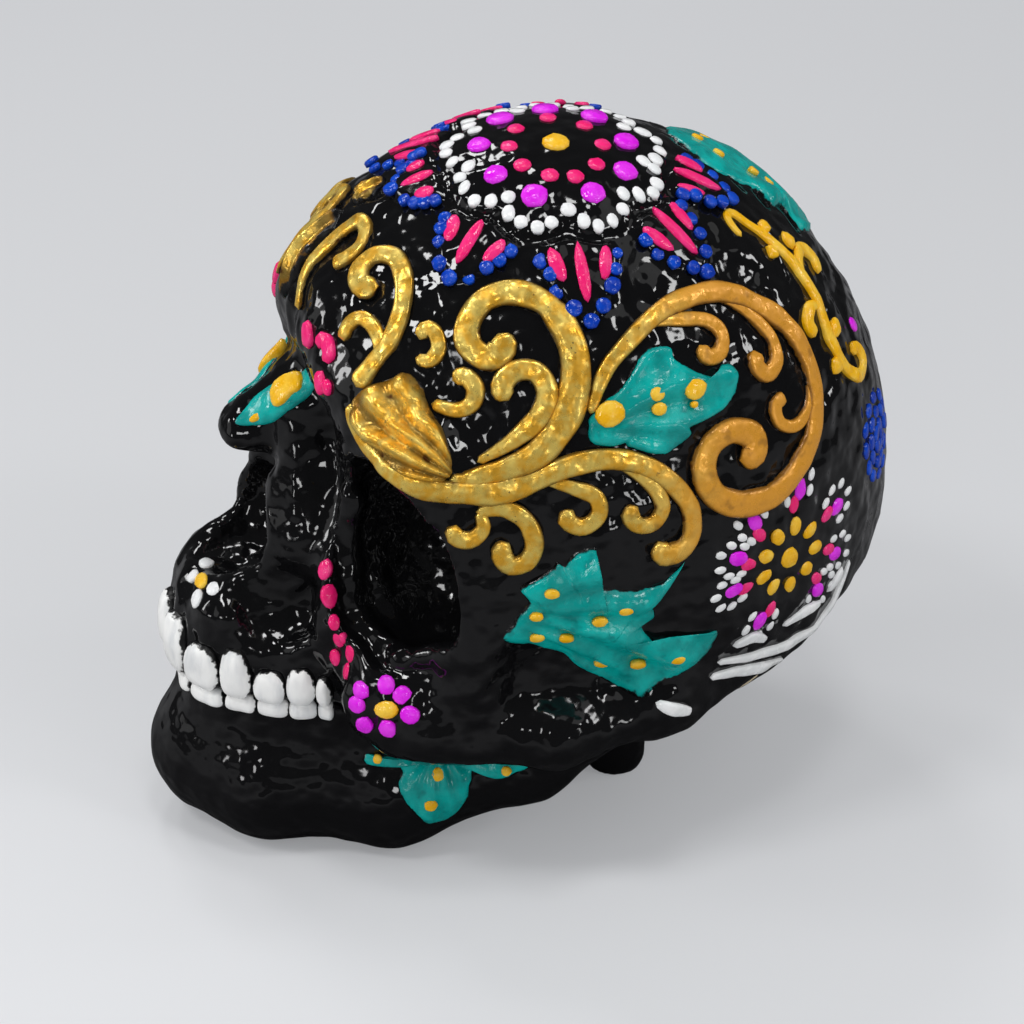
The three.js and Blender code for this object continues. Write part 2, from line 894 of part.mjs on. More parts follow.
const browLeaf = pad(
  onSkull,
  [42, 28.5],
  [
    [32.5, 31],
    [33, 28],
    [36, 26],
    [41, 24.3],
    [46, 23],
    [51, 23],
    [52.5, 24.3],
    [51, 27],
    [49, 30],
    [45.5, 33],
    [43, 36.5],
    [40, 37.5],
    [38.5, 35.5],
    [35, 33.3],
  ],
  [3, 2.9, 2.6, 2, 1],
  0.5,
);
pair("brow_leaf", browLeaf, GOLD);

// Gold crest in the middle of the forehead.
const crestBlade = pad(
  onSkull,
  [0, 46],
  mirrored([
    [0, 37.5],
    [3.2, 41],
    [4.2, 46],
    [3, 51],
    [0, 54],
  ]),
  [2.6, 2.2, 0.9],
);
piece("crest_blade", crestBlade, GOLD);

const crestLoop = cord(
  [
    [9.5, 38.5],
    [7.8, 42],
    [7.2, 46.5],
    [7.5, 51],
    [10, 54.5],
    [14, 54.5],
    [16.8, 52],
    [16.2, 49],
    [13, 46.6],
  ],
  [2, 2.7, 2],
);
pair("crest_loop", crestLoop, GOLD);

const crestTop = pad(
  onSkull,
  [0, 58],
  mirrored([
    [0, 55.5],
    [4.5, 56.5],
    [5, 58.5],
    [2.5, 60.5],
    [0, 61.5],
  ]),
  [2, 1.7, 0.8],
);
piece("crest_top", crestTop, GOLD);

// Green leaves.
const LEAF_RISE = [1.5, 1.5, 1.2, 0.7];
const BENT_RISE = [1.5, 1.5, 1.4, 1.2, 1, 0.7]; // for a pad on a sharper bend

const templeLeaf = pad(
  onSkull,
  [96, 37],
  [
    [80.5, 34],
    [84, 38],
    [87.5, 40.5],
    [90.5, 44],
    [95, 46],
    [99, 45],
    [101, 42.5],
    [107, 38.5],
    [111.5, 38.8],
    [115, 38.5],
    [115, 35.8],
    [111.5, 33.3],
    [105, 31.8],
    [100.5, 30.3],
    [100, 28.8],
    [94, 29.6],
    [88, 30],
    [83, 30.5],
    [79.5, 31.5],
  ],
  LEAF_RISE,
);
pair("temple_leaf", templeLeaf, GREEN);

const earLeaf = pad(
  onSkull,
  [80, -8],
  [
    [65.5, 1.5],
    [71, 4.5],
    [74.5, 7.5],
    [80, 9.5],
    [78.5, 3],
    [83, 0.5],
    [91, 0.5],
    [99, 4],
    [92, -2.5],
    [90, -8],
    [92, -12],
    [100, -14.5],
    [108, -14],
    [103, -20.5],
    [95, -24.5],
    [90.5, -26.5],
    [82, -23.5],
    [76, -20.5],
    [71, -14],
    [64, -9],
    [63, -4],
    [66.5, -1.5],
  ],
  LEAF_RISE,
);
pair("ear_leaf", earLeaf, GREEN);

const onJaw = polar(jaw, [12, -36, 16]);
const jawLeaf = pad(
  onJaw,
  [85, 22],
  [
    [39.5, 19.3],
    [41, 22.5],
    [48, 22.5],
    [58, 23.5],
    [70, 26],
    [86, 27],
    [96, 25],
    [102, 21],
    [107, 18.3],
    [112, 16.5],
    [120, 15],
    [115, 12.8],
    [109.4, 10],
    [104.5, 12],
    [99, 14.6],
    [98, 11],
    [94, 8],
    [92, 1],
    [88, -8],
    [81, -15],
    [75, -14.5],
    [68, -4],
    [62.5, 5],
    [61, 10.5],
    [62.5, 15.5],
    [59, 18.7],
    [53, 18.2],
    [48, 17.8],
    [42, 18],
  ],
  BENT_RISE,
);
pair("jaw_leaf", jawLeaf, GREEN);

const noseLeaf = pad(
  onSkull,
  [6.5, 23],
  [
    [3.2, 15.8],
    [2.3, 18],
    [2, 20.5],
    [3.2, 24],
    [6, 27.3],
    [8.2, 30],
    [11, 30.3],
    [12.4, 28.8],
    [11.6, 26],
    [10.4, 23],
    [8.4, 20.3],
    [5.6, 17.4],
  ],
  [1.2, 1, 0.6],
  0.5,
);
pair("nose_leaf", noseLeaf, GREEN);

const crownLeaf = pad(
  onSkull,
  [180, 60],
  mirrored(
    [
      [180, 42],
      [172, 43.5],
      [164.5, 47],
      [168.5, 51.5],
      [161.5, 54.3],
      [162.5, 57.5],
      [159.5, 61],
      [155.5, 66],
      [157.5, 68.6],
      [164, 70.7],
      [172, 72.2],
      [180, 73],
    ],
    180,
  ),
  BENT_RISE,
);
piece("crown_leaf", crownLeaf, GREEN);

// The skull stands on the floor with its bounding box centred.
const skullGroup = new THREE.Group();
for (const { name, made, look } of pieces) {
  const mesh = new THREE.Mesh(
    geometryOf(made),
    new THREE.MeshStandardMaterial(look),
  );
  mesh.name = name;
  skullGroup.add(mesh);
}
const box = new THREE.Box3().setFromObject(skullGroup);
const middle = box.getCenter(new THREE.Vector3());
skullGroup.position.set(-middle.x, -middle.y, -box.min.z);

const part = new THREE.Group();
part.name = "sugar_skull";
part.add(skullGroup);

export default part;
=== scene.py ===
# %% [markdown]
# # A painted sugar skull
# The real object is a cast skull, dipped in thick black lacquer and painted by hand: white
# teeth, raised gold scrolls, blue-green leaves and hundreds of paint dots. The CAD frame gives
# the place and size of every solid. This lesson dresses them, one finish at a time.

import bmesh
import bpy
import numpy as np
from mathutils import Matrix


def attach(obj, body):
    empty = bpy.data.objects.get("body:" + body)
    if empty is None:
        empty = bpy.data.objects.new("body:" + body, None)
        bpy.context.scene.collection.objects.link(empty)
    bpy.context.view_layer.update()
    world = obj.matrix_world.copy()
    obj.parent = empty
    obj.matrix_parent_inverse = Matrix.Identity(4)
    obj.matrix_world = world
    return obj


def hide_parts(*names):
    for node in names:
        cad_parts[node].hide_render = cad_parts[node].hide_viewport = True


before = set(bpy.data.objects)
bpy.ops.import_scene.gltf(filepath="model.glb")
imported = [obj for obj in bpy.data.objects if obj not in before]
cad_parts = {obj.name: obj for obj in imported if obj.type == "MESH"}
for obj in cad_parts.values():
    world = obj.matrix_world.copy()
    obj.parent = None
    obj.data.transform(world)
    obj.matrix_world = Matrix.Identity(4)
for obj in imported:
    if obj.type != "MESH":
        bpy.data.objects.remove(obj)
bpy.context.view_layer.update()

# %% [markdown]
# ## Camera
# A camera is found by matching: here the skull is seen from its left front, a little from
# above, through a long lens. Positions are in millimetres and turn to metres at the end. The
# skull's shape is described from a point under the braincase, and SHIFT moves it into the frame.

# %% Camera
MM = 0.001
SHIFT = np.array([0, 14.663, 0])
AZIMUTH = np.radians(74)
ELEVATION = np.radians(29)
LENS = 70
SENSOR = 36
IMAGE = 1024
PIXEL = 0.2  # millimetres that a pixel spans at the middle of the skull
SKULL_MIDDLE = np.array([0, 0, 83])
MIDDLE_PIXEL = (585, 399)

back = np.array([
    np.sin(AZIMUTH) * np.cos(ELEVATION),
    -np.cos(AZIMUTH) * np.cos(ELEVATION),
    np.sin(ELEVATION),
])
right = np.array([np.cos(AZIMUTH), np.sin(AZIMUTH), 0])
up = np.cross(back, right)
distance = LENS / SENSOR * IMAGE * PIXEL
eye = SKULL_MIDDLE + SHIFT + back * distance
eye = eye - right * (MIDDLE_PIXEL[0] - IMAGE / 2) * PIXEL
eye = eye - up * (IMAGE / 2 - MIDDLE_PIXEL[1]) * PIXEL

camera = bpy.data.objects.new("camera", bpy.data.cameras.new("camera"))
camera.data.lens = LENS
camera.data.sensor_width = SENSOR
camera.data.clip_start = 0.01
turn = np.eye(4)
turn[:3, 0], turn[:3, 1], turn[:3, 2], turn[:3, 3] = right, up, back, eye * MM
camera.matrix_world = Matrix(turn)
bpy.context.collection.objects.link(camera)
bpy.context.scene.camera = camera
bpy.context.scene.view_settings.view_transform = "Standard"
print("camera at", eye.round(1), "mm")

# %% [markdown]
# ## Shader maths
# A material is a graph of nodes. Writing each Math node by hand is slow to read, so one small
# class wraps a socket: adding or multiplying two of them adds the node that does it.


# %% A socket that can be added and multiplied
class Wire:
    """An output socket; sums and products of wires add the Math node that works them out."""

    def __init__(self, graph, socket):
        self.graph = graph
        self.socket = socket

    def maths(self, operation, a, b):
        """A Math node over two values, each a wire or a number."""
        return self.graph.node("ShaderNodeMath", {"operation": operation}, {0: a, 1: b})

    def __add__(self, other):
        return self.maths("ADD", self, other)

    def __sub__(self, other):
        return self.maths("SUBTRACT", self, other)

    def __rsub__(self, other):
        return self.maths("SUBTRACT", other, self)

    def __mul__(self, other):
        return self.maths("MULTIPLY", self, other)

    __radd__ = __add__
    __rmul__ = __mul__


class Graph:
    """A tree of nodes, and the one method that makes them."""

    def __init__(self, tree):
        self.tree = tree

    def node(self, kind, settings=None, inputs=None, out=0):
        """A new node with its settings and inputs filled in; gives back one of its outputs."""
        made = self.tree.nodes.new(kind)
        for key, value in (settings or {}).items():
            setattr(made, key, value)
        for key, value in (inputs or {}).items():
            self.plug(made.inputs[key], value)
        return Wire(self, made.outputs[out])

    def plug(self, socket, value):
        """Links a wire to an input, or sets the input's own value."""
        if isinstance(value, Wire):
            self.tree.links.new(value.socket, socket)
        else:
            socket.default_value = value


class Look(Graph):
    """A material: its nodes, its shader and the few patterns that every finish uses."""

    def __init__(self, name):
        self.material = bpy.data.materials.new(name)
        self.material.use_nodes = True
        super().__init__(self.material.node_tree)
        self.shader = self.tree.nodes["Principled BSDF"]
        self.place = self.node("ShaderNodeTexCoord", out="Object")

    def shade(self, **values):
        """Fills the shader's inputs by name, with _ for a space."""
        for key, value in values.items():
            self.plug(self.shader.inputs[key.replace("_", " ")], value)

    def noise(self, size, detail=2.0, stretch=(1, 1, 1)):
        """Noise from 0 to 1 whose lumps are about size millimetres wide."""
        place = self.node("ShaderNodeVectorMath", {"operation": "MULTIPLY"},
                          {0: self.place, 1: stretch})
        return self.node("ShaderNodeTexNoise", {},
                         {"Vector": place, "Scale": 1 / (size * MM), "Detail": detail})

    def ramp(self, value, low, high, start=0.0, end=1.0):
        """A smooth step of value from low to high, from start to end."""
        return self.node(
            "ShaderNodeMapRange", {"interpolation_type": "SMOOTHSTEP"},
            {"Value": value, "From Min": low, "From Max": high, "To Min": start, "To Max": end})

    def mix(self, factor, a, b):
        """Colour a where the factor is 0 and b where it is 1."""
        return self.node("ShaderNodeMix", {"data_type": "RGBA"}, {0: factor, 6: a, 7: b}, out=2)

    def bump(self, height, depth):
        """A bump whose full height is depth millimetres."""
        self.shade(Normal=self.node(
            "ShaderNodeBump", {}, {"Height": height, "Distance": depth * MM, "Strength": 1.0}))

    def edge(self):
        """The piece's own edge attribute: 0 at the crest or middle, 1 at the paint's border."""
        return self.node("ShaderNodeAttribute", {"attribute_name": "edge"}, out="Fac")


def colour(red, green, blue):
    """A linear colour from the 0 to 255 numbers of a paint chart."""
    share = np.array([red, green, blue]) / 255
    linear = np.where(share < 0.04045, share / 12.92, ((share + 0.055) / 1.055) ** 2.4)
    return (*linear.tolist(), 1.0)


print("mid grey is", round(colour(128, 128, 128)[0], 3), "in linear light")


# %% [markdown]
# ## Stage
# A pale floor under an even sky, with a few small lamps. The sky gives the soft light; each lamp
# is small and bright, so that every lump of the lacquer throws back its own glint. Mirror rays
# see a dark room, as in a studio with black flags, which keeps the lacquer deep black.

# %% Lamps
AIM = np.array([0, 0, 0.07])  # the point that every lamp faces


def lamp(name, azimuth, elevation, reach, size, power):
    """An area lamp that faces the skull from a direction given in degrees."""
    a, e = np.radians([azimuth, elevation])
    way = np.array([np.sin(a) * np.cos(e), -np.cos(a) * np.cos(e), np.sin(e)])
    side = np.array([np.cos(a), np.sin(a), 0])
    data = bpy.data.lights.new(name, "AREA")
    data.shape = "RECTANGLE"
    data.size, data.size_y = size
    data.energy = power
    made = bpy.data.objects.new(name, data)
    turned = np.eye(4)
    turned[:3, 0], turned[:3, 1], turned[:3, 2] = side, np.cross(way, side), way
    turned[:3, 3] = way * reach + AIM
    made.matrix_world = Matrix(turned)
    bpy.context.collection.objects.link(made)


LAMPS = [  # name, azimuth, elevation, reach, size, power
    ("key_lamp", 20, 55, 0.9, (0.16, 0.16), 1.5),
    ("top_lamp", 95, 76, 0.9, (0.16, 0.16), 1.1),
    ("fill_lamp", 135, 38, 1.0, (0.16, 0.16), 1.0),
    ("rear_lamp", 275, 60, 1.1, (0.17, 0.17), 1.2),
    ("far_lamp", -60, 50, 1.0, (0.18, 0.15), 1.0),
    ("face_lamp", -15, 22, 0.9, (0.15, 0.22), 1.0),
    ("side_lamp", 62, 24, 1.0, (0.13, 0.15), 0.6),
    ("back_lamp", 170, 24, 1.0, (0.13, 0.15), 0.6),
    ("cheek_lamp", 30, 9, 1.0, (0.13, 0.15), 0.5),
    ("low_lamp", 112, 9, 1.0, (0.13, 0.15), 0.5),
    # two broad, dim panels give the lacquer its soft sheen
    ("face_panel", -5, 16, 1.3, (0.8, 0.5), 0.7),
    ("crown_panel", 150, 55, 1.3, (0.8, 0.5), 0.7),
]
for settings in LAMPS:
    lamp(*settings)
print("lamps:", len(LAMPS))

# %% World and floor
SKY = colour(235, 236, 238)
SKY_STRENGTH = 0.48
SKY_IN_MIRRORS = 0.06
FLOOR_SIZE = 4.0
FLOOR_NEAR = colour(194, 195, 197)
FLOOR_FAR = colour(180, 181, 183)
FLOOR_TURN = (-0.06, 0.06)  # metres behind the skull's middle, where near turns to far
GLOW_NEAR = colour(126, 127, 129)
GLOW_FAR = colour(158, 159, 162)
GLOW_TURN = (0.15, 1.1)
# the floor that mirrors see is painted darker near the skull: painted shade for the skull's shadow
MIRROR_SHADE_NEAR = colour(58, 58, 60)
MIRROR_FAR = colour(128, 128, 130)
MIRROR_TURN = (0.06, 0.2)  # metres from the skull's middle, in any direction, over which the painted shade fades out

world = bpy.data.worlds.new("studio")
world.use_nodes = True
air = Graph(world.node_tree)
sky = air.tree.nodes["Background"]
in_mirror = air.node("ShaderNodeLightPath", out="Is Glossy Ray")
air.plug(sky.inputs["Color"], SKY)
air.plug(sky.inputs["Strength"], air.node(
    "ShaderNodeMapRange", {},
    {"Value": in_mirror, "To Min": SKY_STRENGTH, "To Max": SKY_IN_MIRRORS}))
bpy.context.scene.world = world

floor_mesh = bpy.data.meshes.new("floor")
half = FLOOR_SIZE / 2
floor_mesh.from_pydata(
    [(-half, -half, 0), (half, -half, 0), (half, half, 0), (-half, half, 0)], [], [(0, 1, 2, 3)])
floor = bpy.data.objects.new("floor", floor_mesh)
bpy.context.collection.objects.link(floor)
paper = Look("pale_paper")
away = paper.node("ShaderNodeVectorMath", {"operation": "DOT_PRODUCT"},
                  {0: paper.place, 1: (-back[0], -back[1], 0)}, out="Value")
tone = paper.mix(paper.ramp(away, *FLOOR_TURN), FLOOR_NEAR, FLOOR_FAR)
glow = paper.mix(paper.ramp(away, *GLOW_TURN), GLOW_NEAR, GLOW_FAR)
reach = paper.node("ShaderNodeVectorMath", {"operation": "LENGTH"}, {0: paper.place}, out="Value")
in_mirror = paper.node("ShaderNodeLightPath", out="Is Glossy Ray")
# painted shade: in mirrors the floor darkens towards the skull
shaded_mirror_floor = paper.mix(paper.ramp(reach, *MIRROR_TURN), MIRROR_SHADE_NEAR, MIRROR_FAR)
seen = paper.node("ShaderNodeLightPath", out="Is Camera Ray")
paper.shade(
    Base_Color=paper.mix(in_mirror, tone, shaded_mirror_floor), Roughness=0.9,
    Emission_Color=paper.mix(seen, (0, 0, 0, 1), glow), Emission_Strength=1.0)
floor_mesh.materials.append(paper.material)
print("floor:", FLOOR_SIZE, "m wide, sky strength", SKY_STRENGTH)

# %% [markdown]
# ## The skull as a field
# A skull has no outline to extrude. It is easier as a field: a function that is negative inside.
# Balls, rods and planes are joined and cut one after another, with soft seams, and the surface
# is where the sum is zero. The same sizes made the solids, so the two agree.


# %% Shapes of the field
def soft_min(a, b, k):
    """The lower of two fields, with a seam k millimetres wide rounded off."""
    h = np.clip(0.5 + 0.5 * (b - a) / max(k, 1e-6), 0, 1)
    return b + (a - b) * h - k * h * (1 - h)


def length(v):
    """Length of each vector: the root of the sum of its squares."""
    return np.sqrt((v * v).sum(-1))


def ellipsoid(centre, radii, axes=np.eye(3)):
    """Scaled distance to a ball squeezed along three axes."""
    radii = np.array(radii, float)

    def field(p):
        q = (p - np.array(centre, float)) @ np.array(axes).T / radii
        near = length(q)
        return near * (near - 1) / np.maximum(length(q / radii), 1e-6)
    return field


def rod(a, b, ra, rb):
    """Distance to a round rod from a to b, less a radius that runs from ra to rb."""
    a, b = np.array(a, float), np.array(b, float)

    def field(p):
        t = np.clip((p - a) @ (b - a) / ((b - a) @ (b - a)), 0, 1)
        return length(p - a - t[..., None] * (b - a)) - (ra + (rb - ra) * t)
    return field


def half_space(point, normal):
    """Everything on the far side of a plane from its normal."""
    return lambda p: (p - np.array(point, float)) @ np.array(normal, float)


ARCH_POWER = 2.8


def arch_y(arch, x):
    """The curve of a gum: front + depth times (x / width) to a power, flat at the front."""
    return arch[0] + arch[1] * (np.abs(x) / arch[2]) ** ARCH_POWER


def arch_slope(arch, x):
    """How steeply a gum's curve runs back: the derivative of arch_y."""
    return ARCH_POWER * arch[1] / arch[2] * (np.abs(x) / arch[2]) ** (ARCH_POWER - 1)


def inside_arch(arch):
    """Distance outside a gum's curve: the gap along y over the curve's own steepness."""
    return lambda p: ((arch_y(arch, p[..., 0]) - p[..., 1])
                      / np.sqrt(1 + arch_slope(arch, p[..., 0]) ** 2))


def sculpt(steps):
    """Joins, cuts and trims in turn; the skull is the same on both sides."""
    def field(p):
        q = np.concatenate([np.abs(p[..., :1]), p[..., 1:]], -1)
        d = np.full(p.shape[:-1], 1000.0)
        for how, k, shape in steps:
            s = shape(q)
            if how == "add":
                d = soft_min(d, s, k)
            else:
                d = -soft_min(-d, s if how == "cut" else -s, k)
        return d
    return field


def tipped(degrees):
    """Axes turned about x by an angle."""
    c, s = np.cos(np.radians(degrees)), np.sin(np.radians(degrees))
    return [[1, 0, 0], [0, c, -s], [0, s, c]]


def socket_axes(yaw, roll):
    """Axes of an eye socket that looks outward and whose top leans to the nose."""
    yaw, roll = np.radians([yaw, roll])
    side = np.array([np.cos(yaw), np.sin(yaw), 0])
    out = np.array([np.sin(yaw), -np.cos(yaw), 0])
    upward = np.array([0, 0, 1])
    return [side * np.cos(roll) + upward * np.sin(roll), out,
            upward * np.cos(roll) - side * np.sin(roll)]


print("a ball of 10 mm, seen 12 mm from its middle:",
      ellipsoid((0, 0, 0), (10, 10, 10))(np.array([0, 0, 12.0])).round(2), "mm outside")


# %% The skull and the jaw
BITE = 37.2
UPPER_ARCH = (-85.5, 28, 25.5)
LOWER_ARCH = (-84.5, 28, 25)
SLOPE = np.radians(26)
# a thin raised lip from the nose side of the socket round its lower edge
SOCKET_LIP = [(21.5, -52, 80), (21, -53.5, 66), (25.5, -52, 55), (36, -46.5, 52.5), (47, -37, 59)]

gum = sculpt([
    ("add", 0, inside_arch(UPPER_ARCH)),
    ("trim", 2, half_space((0, 0, BITE), (0, 0, -1))),
    ("trim", 6, half_space((0, -80, 61), (0, -0.83, 0.55))),
    ("trim", 8, half_space((0, 0, 60), (0, 0, 1))),
    ("trim", 5, half_space((0, -38, 0), (0, 1, 0))),
])
skull = sculpt([
    ("add", 0, ellipsoid((0, -4.8, 70.2), (52, 66.5, 71.6), tipped(-24))),
    ("trim", 14, half_space((0, 16, 25), (0, np.sin(SLOPE), -np.cos(SLOPE)))),
    ("trim", 10, half_space((0, 0, 30), (0, 0, -1))),
    # the front is set back under the brow
    ("trim", 6, half_space((0, -60, 0), (0, -1, 0))),
    ("cut", 8, ellipsoid((0, -95, 86), (70, 44, 30))),
    # brow ridge and outer wall of the socket
    ("add", 7, rod((6, -49, 107), (22, -46.5, 104), 6, 5.5)),
    ("add", 6, rod((22, -46.5, 104), (37, -43, 95), 5.5, 6)),
    ("add", 8, rod((38, -41, 92), (44, -33, 54), 5.5, 6)),
    # upper jaw, gum and the side wall of the nose
    ("add", 8, ellipsoid((0, -56.5, 60), (18, 19.5, 20))),
    ("add", 6, gum),
    ("add", 7, rod((7, -57, 92), (12.5, -61, 57), 4.5, 6)),
    ("add", 4, rod((0, -50, 95), (0, -57, 84), 7, 6)),
    # lower rim of the socket, cheekbone and cheek arch
    ("add", 5, rod((20, -52, 48), (42, -36, 48), 5, 6)),
    ("add", 6, ellipsoid((34, -46, 42), (9, 12, 11))),
    ("add", 6, rod((40, -42, 39), (47, -20, 38), 7.5, 6)),
    ("add", 6, rod((47, -20, 38), (44, 0, 41), 6, 7)),
    ("cut", 7, rod((52, -26, 54), (53, -6, 50), 5, 4)),
    # bump behind the ear
    ("add", 8, rod((40, 3, 40), (37, 2, 32), 8, 5.5)),
    # eye socket, with its low outer corner
    ("cut", 1.6, ellipsoid((36, -49, 72), (14.8, 26, 21.5), socket_axes(32, 12))),
    ("cut", 1.6, rod((31, -51, 61), (42, -42, 62), 7.5, 5.5)),
    *[("add", 2.5, rod(a, b, 1.8, 1.8)) for a, b in zip(SOCKET_LIP, SOCKET_LIP[1:])],
    # nose bones, the two halves of the nose opening and the hollow beside it
    ("add", 5, rod((0, -50, 96), (0, -67.5, 86), 8, 5.5)),
    ("cut", 2.5, ellipsoid((0, -71, 67), (12.5, 14, 11))),
    ("cut", 2.5, ellipsoid((0, -72, 76), (6.5, 12, 8))),
    ("cut", 6, ellipsoid((19, -67, 57), (4.5, 8, 7))),
    # foot under the base
    ("add", 4, rod((10, 3, 30), (9.5, 5, 3.5), 9, 6.5)),
])
ridge = sculpt([
    ("add", 0, inside_arch(LOWER_ARCH)),
    ("cut", 4, inside_arch((-70, 28, 18))),
    ("trim", 2, half_space((0, 0, BITE - 0.5), (0, 0, 1))),
    ("trim", 2, half_space((0, 0, 17), (0, 0, -1))),
    ("trim", 4, half_space((0, -44, 0), (0, 1, 0))),
])
jaw_bone = sculpt([
    ("add", 0, rod((0, -76, 15.3), (9, -69, 13), 16, 13.3)),
    ("add", 6, rod((9, -69, 13), (19, -46, 11.7), 13.3, 12)),
    ("add", 6, rod((19, -46, 11.7), (28, -20, 20), 12, 9)),
    ("add", 5, rod((28, -20, 20), (34, -6, 31), 9, 7)),
    ("add", 5, ridge),
])


def gradient(field, p, h=0.1):
    """Central differences along x, y and z."""
    steps = np.eye(3) * h
    return np.stack([(field(p + s) - field(p - s)) / (2 * h) for s in steps], -1)


def normals(field, p):
    """The gradient at unit length, which points out of the surface."""
    g = gradient(field, p)
    return g / np.maximum(length(g), 1e-6)[..., None]


print("depth of the skull's middle:", skull(SKULL_MIDDLE).round(1), "mm")


# %% [markdown]
# ## Lumps in the lacquer
# Dipped lacquer is never smooth: it sags, wrinkles and pools. The larger lumps are real shape,
# so they are added to the mesh along its normals. Value noise gives them: random numbers on a
# lattice, blended in between.

# %% Value noise
LATTICE = np.random.default_rng(11).random((32, 32, 32))
# height and width in millimetres
SAG = (0.3, 7)
WRINKLE = (0.3, 3.4)
CREASE = (0.24, 5.2)
RUN = (0.7, 3.4)
RUN_DRAW = np.array([1, 1, 0.3])  # runs are longer along z
FACE_FRONT = (36, 14)  # how far before the middle the runs start, and over what stretch
CHIN_TOP = (34, 10)  # height under which the lacquer is calmer, and over what stretch
CHIN_CALM = 0.75


def noise(p, size):
    """Smooth noise from -1 to 1 whose lumps are about size millimetres wide."""
    q = p / size
    cell = np.floor(q).astype(int)
    f = q - cell
    f = f * f * (3 - 2 * f)
    total = 0
    for corner in np.ndindex(2, 2, 2):
        weight = np.where(corner, f, 1 - f).prod(-1)
        i = (cell + corner) % len(LATTICE)
        total = total + weight * LATTICE[i[..., 0], i[..., 1], i[..., 2]]
    return 2 * total - 1


def lumps(p):
    """Height of the lacquer: sags, wrinkles and creases, with runs that hang down the face."""
    face = np.clip((-p[..., 1] - FACE_FRONT[0]) / FACE_FRONT[1], 0, 1)
    chin = np.clip((CHIN_TOP[0] - p[..., 2]) / CHIN_TOP[1], 0, 1)
    sag = SAG[0] * noise(p, SAG[1])
    wrinkle = WRINKLE[0] * noise(p, WRINKLE[1])
    crease = CREASE[0] * (1 - 2 * np.abs(noise(p, CREASE[1])))
    run = RUN[0] * noise(p * RUN_DRAW, RUN[1])
    return (sag + wrinkle + crease + face * run) * (1 - CHIN_CALM * chin)


print("lacquer on the forehead:", lumps(np.array([0, -60, 110.0])).round(2), "mm")

# %% [markdown]
# ## The flower on the crown
# The casting itself carries a flower: a disc with round lobes, and pointed petals outside it.
# Its edges are steps about a millimetre high, which the lacquer rounds. Places on it are a
# bearing from the face and degrees out from its middle, seen from a point inside the head.

# %% Raised petals
HEART = np.array([0, -5, 70])
FLOWER = (64.5, 79.9)
LOBES = [-20, 21, 58, 102, 143, 180, 220, 260, 300]
LOBE_OUT = 11.7
LOBE_RADIUS = 6.0
DISC_RADIUS = 13.0
PETALS = [(-5, 25, 6), (37, 28.5, 6.1), (84, 30.5, 6.4), (130, 30.5, 5.6), (163, 29, 4.8),
          (251, 31, 6.1), (291, 31, 6.1), (326, 31, 5.2)]  # bearing, tip, half width
PETAL_BASE = 17.9
PETAL_LENGTHS = [-0.06, 0, 0.14, 0.3, 0.6, 0.84, 1]
PETAL_WIDTHS = [0.8, 0.9, 1, 0.97, 0.76, 0.42, 0]
OFF_PETAL = -9  # width beyond a petal's ends, so that nothing rises there
PETAL_GAP = 0.5  # degrees between a petal and the lobes
STEP_HEIGHT = 1.2
BELLY = (0.4, 5)  # height of the dome on a petal, and degrees to its top
PETAL_CALM = 0.55  # share of the lumps that the petals lose


def direction(places):
    """Unit vectors from longitude (nose to left ear) and latitude in degrees."""
    lon, lat = np.radians(np.asarray(places, float)).T
    return np.stack([np.cos(lat) * np.sin(lon), -np.cos(lat) * np.cos(lon), np.sin(lat)], -1)


def flower_axes(middle, start):
    """The way to a flower's middle, the way its bearings start and the way they turn."""
    axis = direction([middle])[0]
    first = np.array(start, float)
    first = first - axis * (axis @ first)
    first = first / length(first)
    return axis, first, np.cross(axis, first)


FLOWER_AXES = flower_axes(FLOWER, (0, -1, 0))


def step_up(inward):
    """A rounded step: 0 at the edge, full one degree inside it, then a gentle dome."""
    t = np.clip(inward, 0, 1)
    return STEP_HEIGHT * t * t * (3 - 2 * t) + BELLY[0] * np.clip(inward / BELLY[1], 0, 1)


def relief(p):
    """Height of the flower: the disc and its lobes, and the petals where no lobe lies."""
    axis, first, second = FLOWER_AXES
    way = p - HEART
    out = np.degrees(np.arccos(np.clip(way @ axis / np.maximum(length(way), 1e-6), -1, 1)))
    bearing = np.degrees(np.arctan2(way @ second, way @ first))
    inside = DISC_RADIUS - out
    for lobe in LOBES:
        turn = np.radians(bearing - lobe)
        apart = np.hypot(out * np.sin(turn), out * np.cos(turn) - LOBE_OUT)
        inside = np.maximum(inside, LOBE_RADIUS - apart)
    height = step_up(inside)
    for middle, tip, half_width in PETALS:
        turn = np.radians(bearing - middle)
        share = (out * np.cos(turn) - PETAL_BASE) / (tip - PETAL_BASE)
        width = half_width * np.interp(share, PETAL_LENGTHS, PETAL_WIDTHS, OFF_PETAL, OFF_PETAL)
        inward = np.minimum(width - np.abs(out * np.sin(turn)), -inside - PETAL_GAP)
        height = np.maximum(height, step_up(inward))
    return height


def ground(p):
    """Height of everything that the paint lies on; the petals are smoother than the rest."""
    raised = relief(p)
    return lumps(p) * (1 - PETAL_CALM * np.minimum(raised, 1)) + raised


print("flower:", len(LOBES), "lobes and", len(PETALS), "petals,", STEP_HEIGHT, "mm high")


# %% [markdown]
# ## A skin over the field
# Surface nets turn a field into a mesh: every grid cell that the surface passes through gets
# one point, at the mean of its edge crossings, and every crossed grid edge gets one quad.


# %% Surface nets
COARSE = 4  # grid steps to a coarse step
NEAR = 2.2  # coarse steps from the surface within which the field is worked out
ROUNDS = 3  # moves of each point towards the surface
STRAY = 0.3  # the longest such move, in grid steps
FLAT = 0.3  # the lowest squared slope that a move divides by


